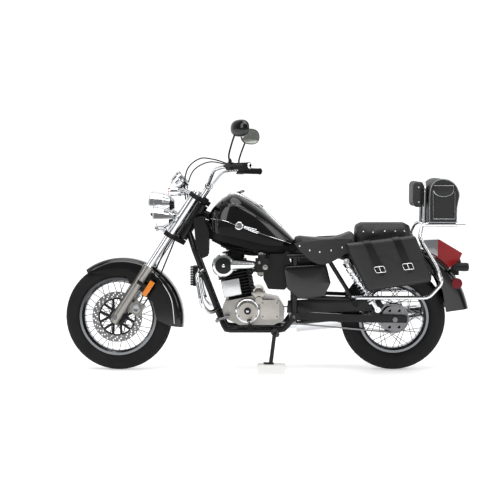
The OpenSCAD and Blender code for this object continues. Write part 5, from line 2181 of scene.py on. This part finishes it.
@dataclass
class Studio:
    """Floor, light and camera, in metres.

    Attributes:
        floor_half: Half width of the floor.
        floor_run: Y where the floor turns from pale to a painted shade of grey, on the camera's side.
        floor_shades: Its pale tone before, and the painted shade after, which darkens what shiny parts
            reflect on that side.
        sky_run: Direction where the surround turns from white to dim.
        sky_shades: Its strength before and after.
        sun: Strength of the broad high light.
        boxes: Name, place, size and power of each soft box.
        aim: Place that the soft boxes face.
        eye: Place of the camera.
        tilt: Downward tilt of the camera, degrees.
        focal: Focal length, millimetres.
    """

    floor_half: float = 30.0
    floor_run: Pair = (3.0, 4.2)
    floor_shades: Pair = (0.93, 0.32)
    sky_run: Pair = (-0.75, 0.1)
    sky_shades: Pair = (1.15, 0.2)
    sun: float = 1.25
    boxes: tuple[tuple[str, Point, Pair, float], ...] = (
        ("front_box", (4.6, 3.4, 3.2), (2.2, 3.4), 60), ("rear_box", (-4.6, 3.2, 3.0), (2.2, 3.4), 55),
        ("high_box", (0.2, 2.6, 4.6), (6.5, 1.3), 80))
    aim: Place = (0.0, 0.0, 0.6)
    eye: Place = (0.092, 6.945, 0.83)
    tilt: float = 1.33
    focal: float = 90.0

    def build(self) -> None:
        """Set up the studio."""
        self._floor()
        self._lights()
        self._surround()
        self._camera()

    def _floor(self) -> None:
        """Make the pale floor, whose colour and glow turn to a painted shade of grey towards the camera."""
        h = self.floor_half
        mesh = bpy.data.meshes.new("floor")
        mesh.from_pydata([(-h, -h, 0), (h, -h, 0), (h, h, 0), (-h, h, 0)], [], [(0, 1, 2, 3)])
        floor = add_object("floor", mesh)
        mesh.materials.append(Finishes.FLOOR.build())
        tree = mesh.materials[0].node_tree
        # painted shade: the floor's colour and glow fade to grey towards the camera, for the dark that shiny
        # parts reflect
        shade_of = fade_along_y(tree, "Object", self.floor_run, self.floor_shades)
        for name in ("Base Color", "Emission Color"):
            tree.links.new(shade_of, tree.nodes["Principled BSDF"].inputs[name])

    def _lights(self) -> None:
        """Hang one broad high light and the soft boxes."""
        sky = bpy.data.lights.new("high_light", "SUN")
        sky.energy = self.sun
        sky.angle = math.radians(50)
        add_object("high_light", sky).rotation_euler = (math.radians(-8), 0, 0)
        for name, place, size, power in self.boxes:
            lamp = bpy.data.lights.new(name, "AREA")
            lamp.shape = "RECTANGLE"
            lamp.size, lamp.size_y = size
            lamp.energy = power
            holder = add_object(name, lamp)
            holder.location = place
            holder.rotation_euler = (Vector(self.aim) - Vector(place)).to_track_quat("-Z", "Y").to_euler()

    def _surround(self) -> None:
        """Make the surround white behind the machine and dim towards its lit side."""
        world = bpy.data.worlds.new("studio")
        bpy.context.scene.world = world
        world.use_nodes = True
        back = world.node_tree.nodes["Background"]
        strength = fade_along_y(world.node_tree, "Generated", self.sky_run, self.sky_shades)
        world.node_tree.links.new(strength, back.inputs["Strength"])
        back.inputs["Color"].default_value = (1, 1, 1, 1)
        bpy.context.scene.view_settings.view_transform = "Standard"

    def _camera(self) -> None:
        """Stand the camera where the photograph was taken."""
        lens = bpy.data.cameras.new("camera")
        lens.sensor_width = 36.0
        lens.lens = self.focal
        holder = add_object("camera", lens)
        holder.location = self.eye
        holder.rotation_euler = (math.radians(90 - self.tilt), 0, math.radians(180))
        bpy.context.scene.camera = holder


NODE_FINISH: dict[Finish, tuple[str, ...]] = {
    Finishes.PAINT: ("fuel_tank", "side_covers", "rear_fender", "front_fender", "neck_cover"),
    Finishes.FRAME: ("frame", "swingarm", "side_stand"),
    Finishes.CHROME: ("handlebar", "headlamp", "spot_lamps", "front_signals", "gauge", "bag_rail_left",
                      "bag_rail_right", "rear_rack", "exhaust", "engine_guard", "air_cleaner", "tank_console",
                      "fork_tubes", "head_cover", "shocks"),
    Finishes.SHADED_WHEEL_CHROME: ("front_wheel", "rear_wheel"),
    Finishes.ALLOY: ("fork_sliders", "crankcase", "brake_caliper"),
    Finishes.COVER: ("left_engine_covers", "right_engine_cover"),
    Finishes.FIN: ("barrel", "cylinder_head", "regulator"),
    Finishes.SATIN: ("yokes", "rear_signals", "carburettor"),
    Finishes.STEEL: ("rear_axle", "front_axle", "brake_disc", "rear_sprocket", "foot_pedals", "chain"),
    Finishes.PLASTIC: ("bar_controls", "mirrors", "battery_box"),
    Finishes.TYRE: ("front_tyre", "rear_tyre"),
    Finishes.RUBBER: ("grips", "brake_hoses", "foot_pegs"),
    Finishes.SEAT: ("rider_seat", "pillion_pad", "backrest_pad"),
    Finishes.BAG: ("saddlebag_left", "saddlebag_right", "top_bag"),
    Finishes.RED: ("tail_lamp",),
    Finishes.DEEP_RED: ("rear_reflectors",),
    Finishes.AMBER: ("fork_reflectors",),
    Finishes.SHADED_BLOCK: ("stand_block",),
}


def dress_nodes() -> None:
    """Give every CAD node its finish."""
    for finish, nodes in NODE_FINISH.items():
        for node in nodes:
            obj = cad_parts[node]
            for part in obj if isinstance(obj, (list, tuple)) else [obj]:
                part.data.materials.clear()
                part.data.materials.append(finish.build())


def tyres() -> list[Tyre]:
    """Return both tyres."""
    return [
        Tyre("front_tread", "front_tyre", "front_wheel", STANCE.steered(),
             (STANCE.front_x, 0, STANCE.front_r),
             radius=STANCE.front_r, width=110, rim_r=217, rim_w=76, count=48),
        Tyre("rear_tread", "rear_tyre", "rear_wheel", STANCE.body(),
             (STANCE.rear_x, 0, STANCE.rear_r),
             radius=STANCE.rear_r, width=130, rim_r=195, rim_w=92, count=44)]


def fenders() -> list[Fender]:
    """Return both fenders."""
    front_edge = ((1100, 548), (772, 524), (754, 485), (709, 446), (628, 384), (602, 282), (520, 244),
                  (440, 238))
    return [
        Fender("front_fender_shell", "front_fender", "steering", STANCE.steered(), middle=(802, 282), r=344,
               half=66, depth=150, start=54, stop=187, edge=front_edge),
        Fender("rear_fender_shell", "rear_fender", "frame", STANCE.body(),
               middle=(STANCE.rear_x, STANCE.rear_r), r=415, half=100, depth=86,
               start=52, stop=172, flare=3.5, deepen=46)]


def main() -> None:
    """Build every piece in order."""
    logging.basicConfig(level=logging.INFO, format="%(name)s: %(message)s")
    dress_nodes()
    for part in (RiderSeat(), PillionPad(), Backrest(), Saddlebag(1), Saddlebag(-1), TopBag(), *tyres(),
                 Lamps(), Tank(), TankTrim(), Console(), EngineTrim(), SeatFlaps(), BarTrim(), Mirrors(),
                 Chain(), Shocks(), BrakeTrim(), *fenders(), UnderTank(), SidePanels(),
                 Brightwork(), Studio()):
        LOG.info("building %s", type(part).__name__)
        part.build()


if __name__ == "__main__":
    main()
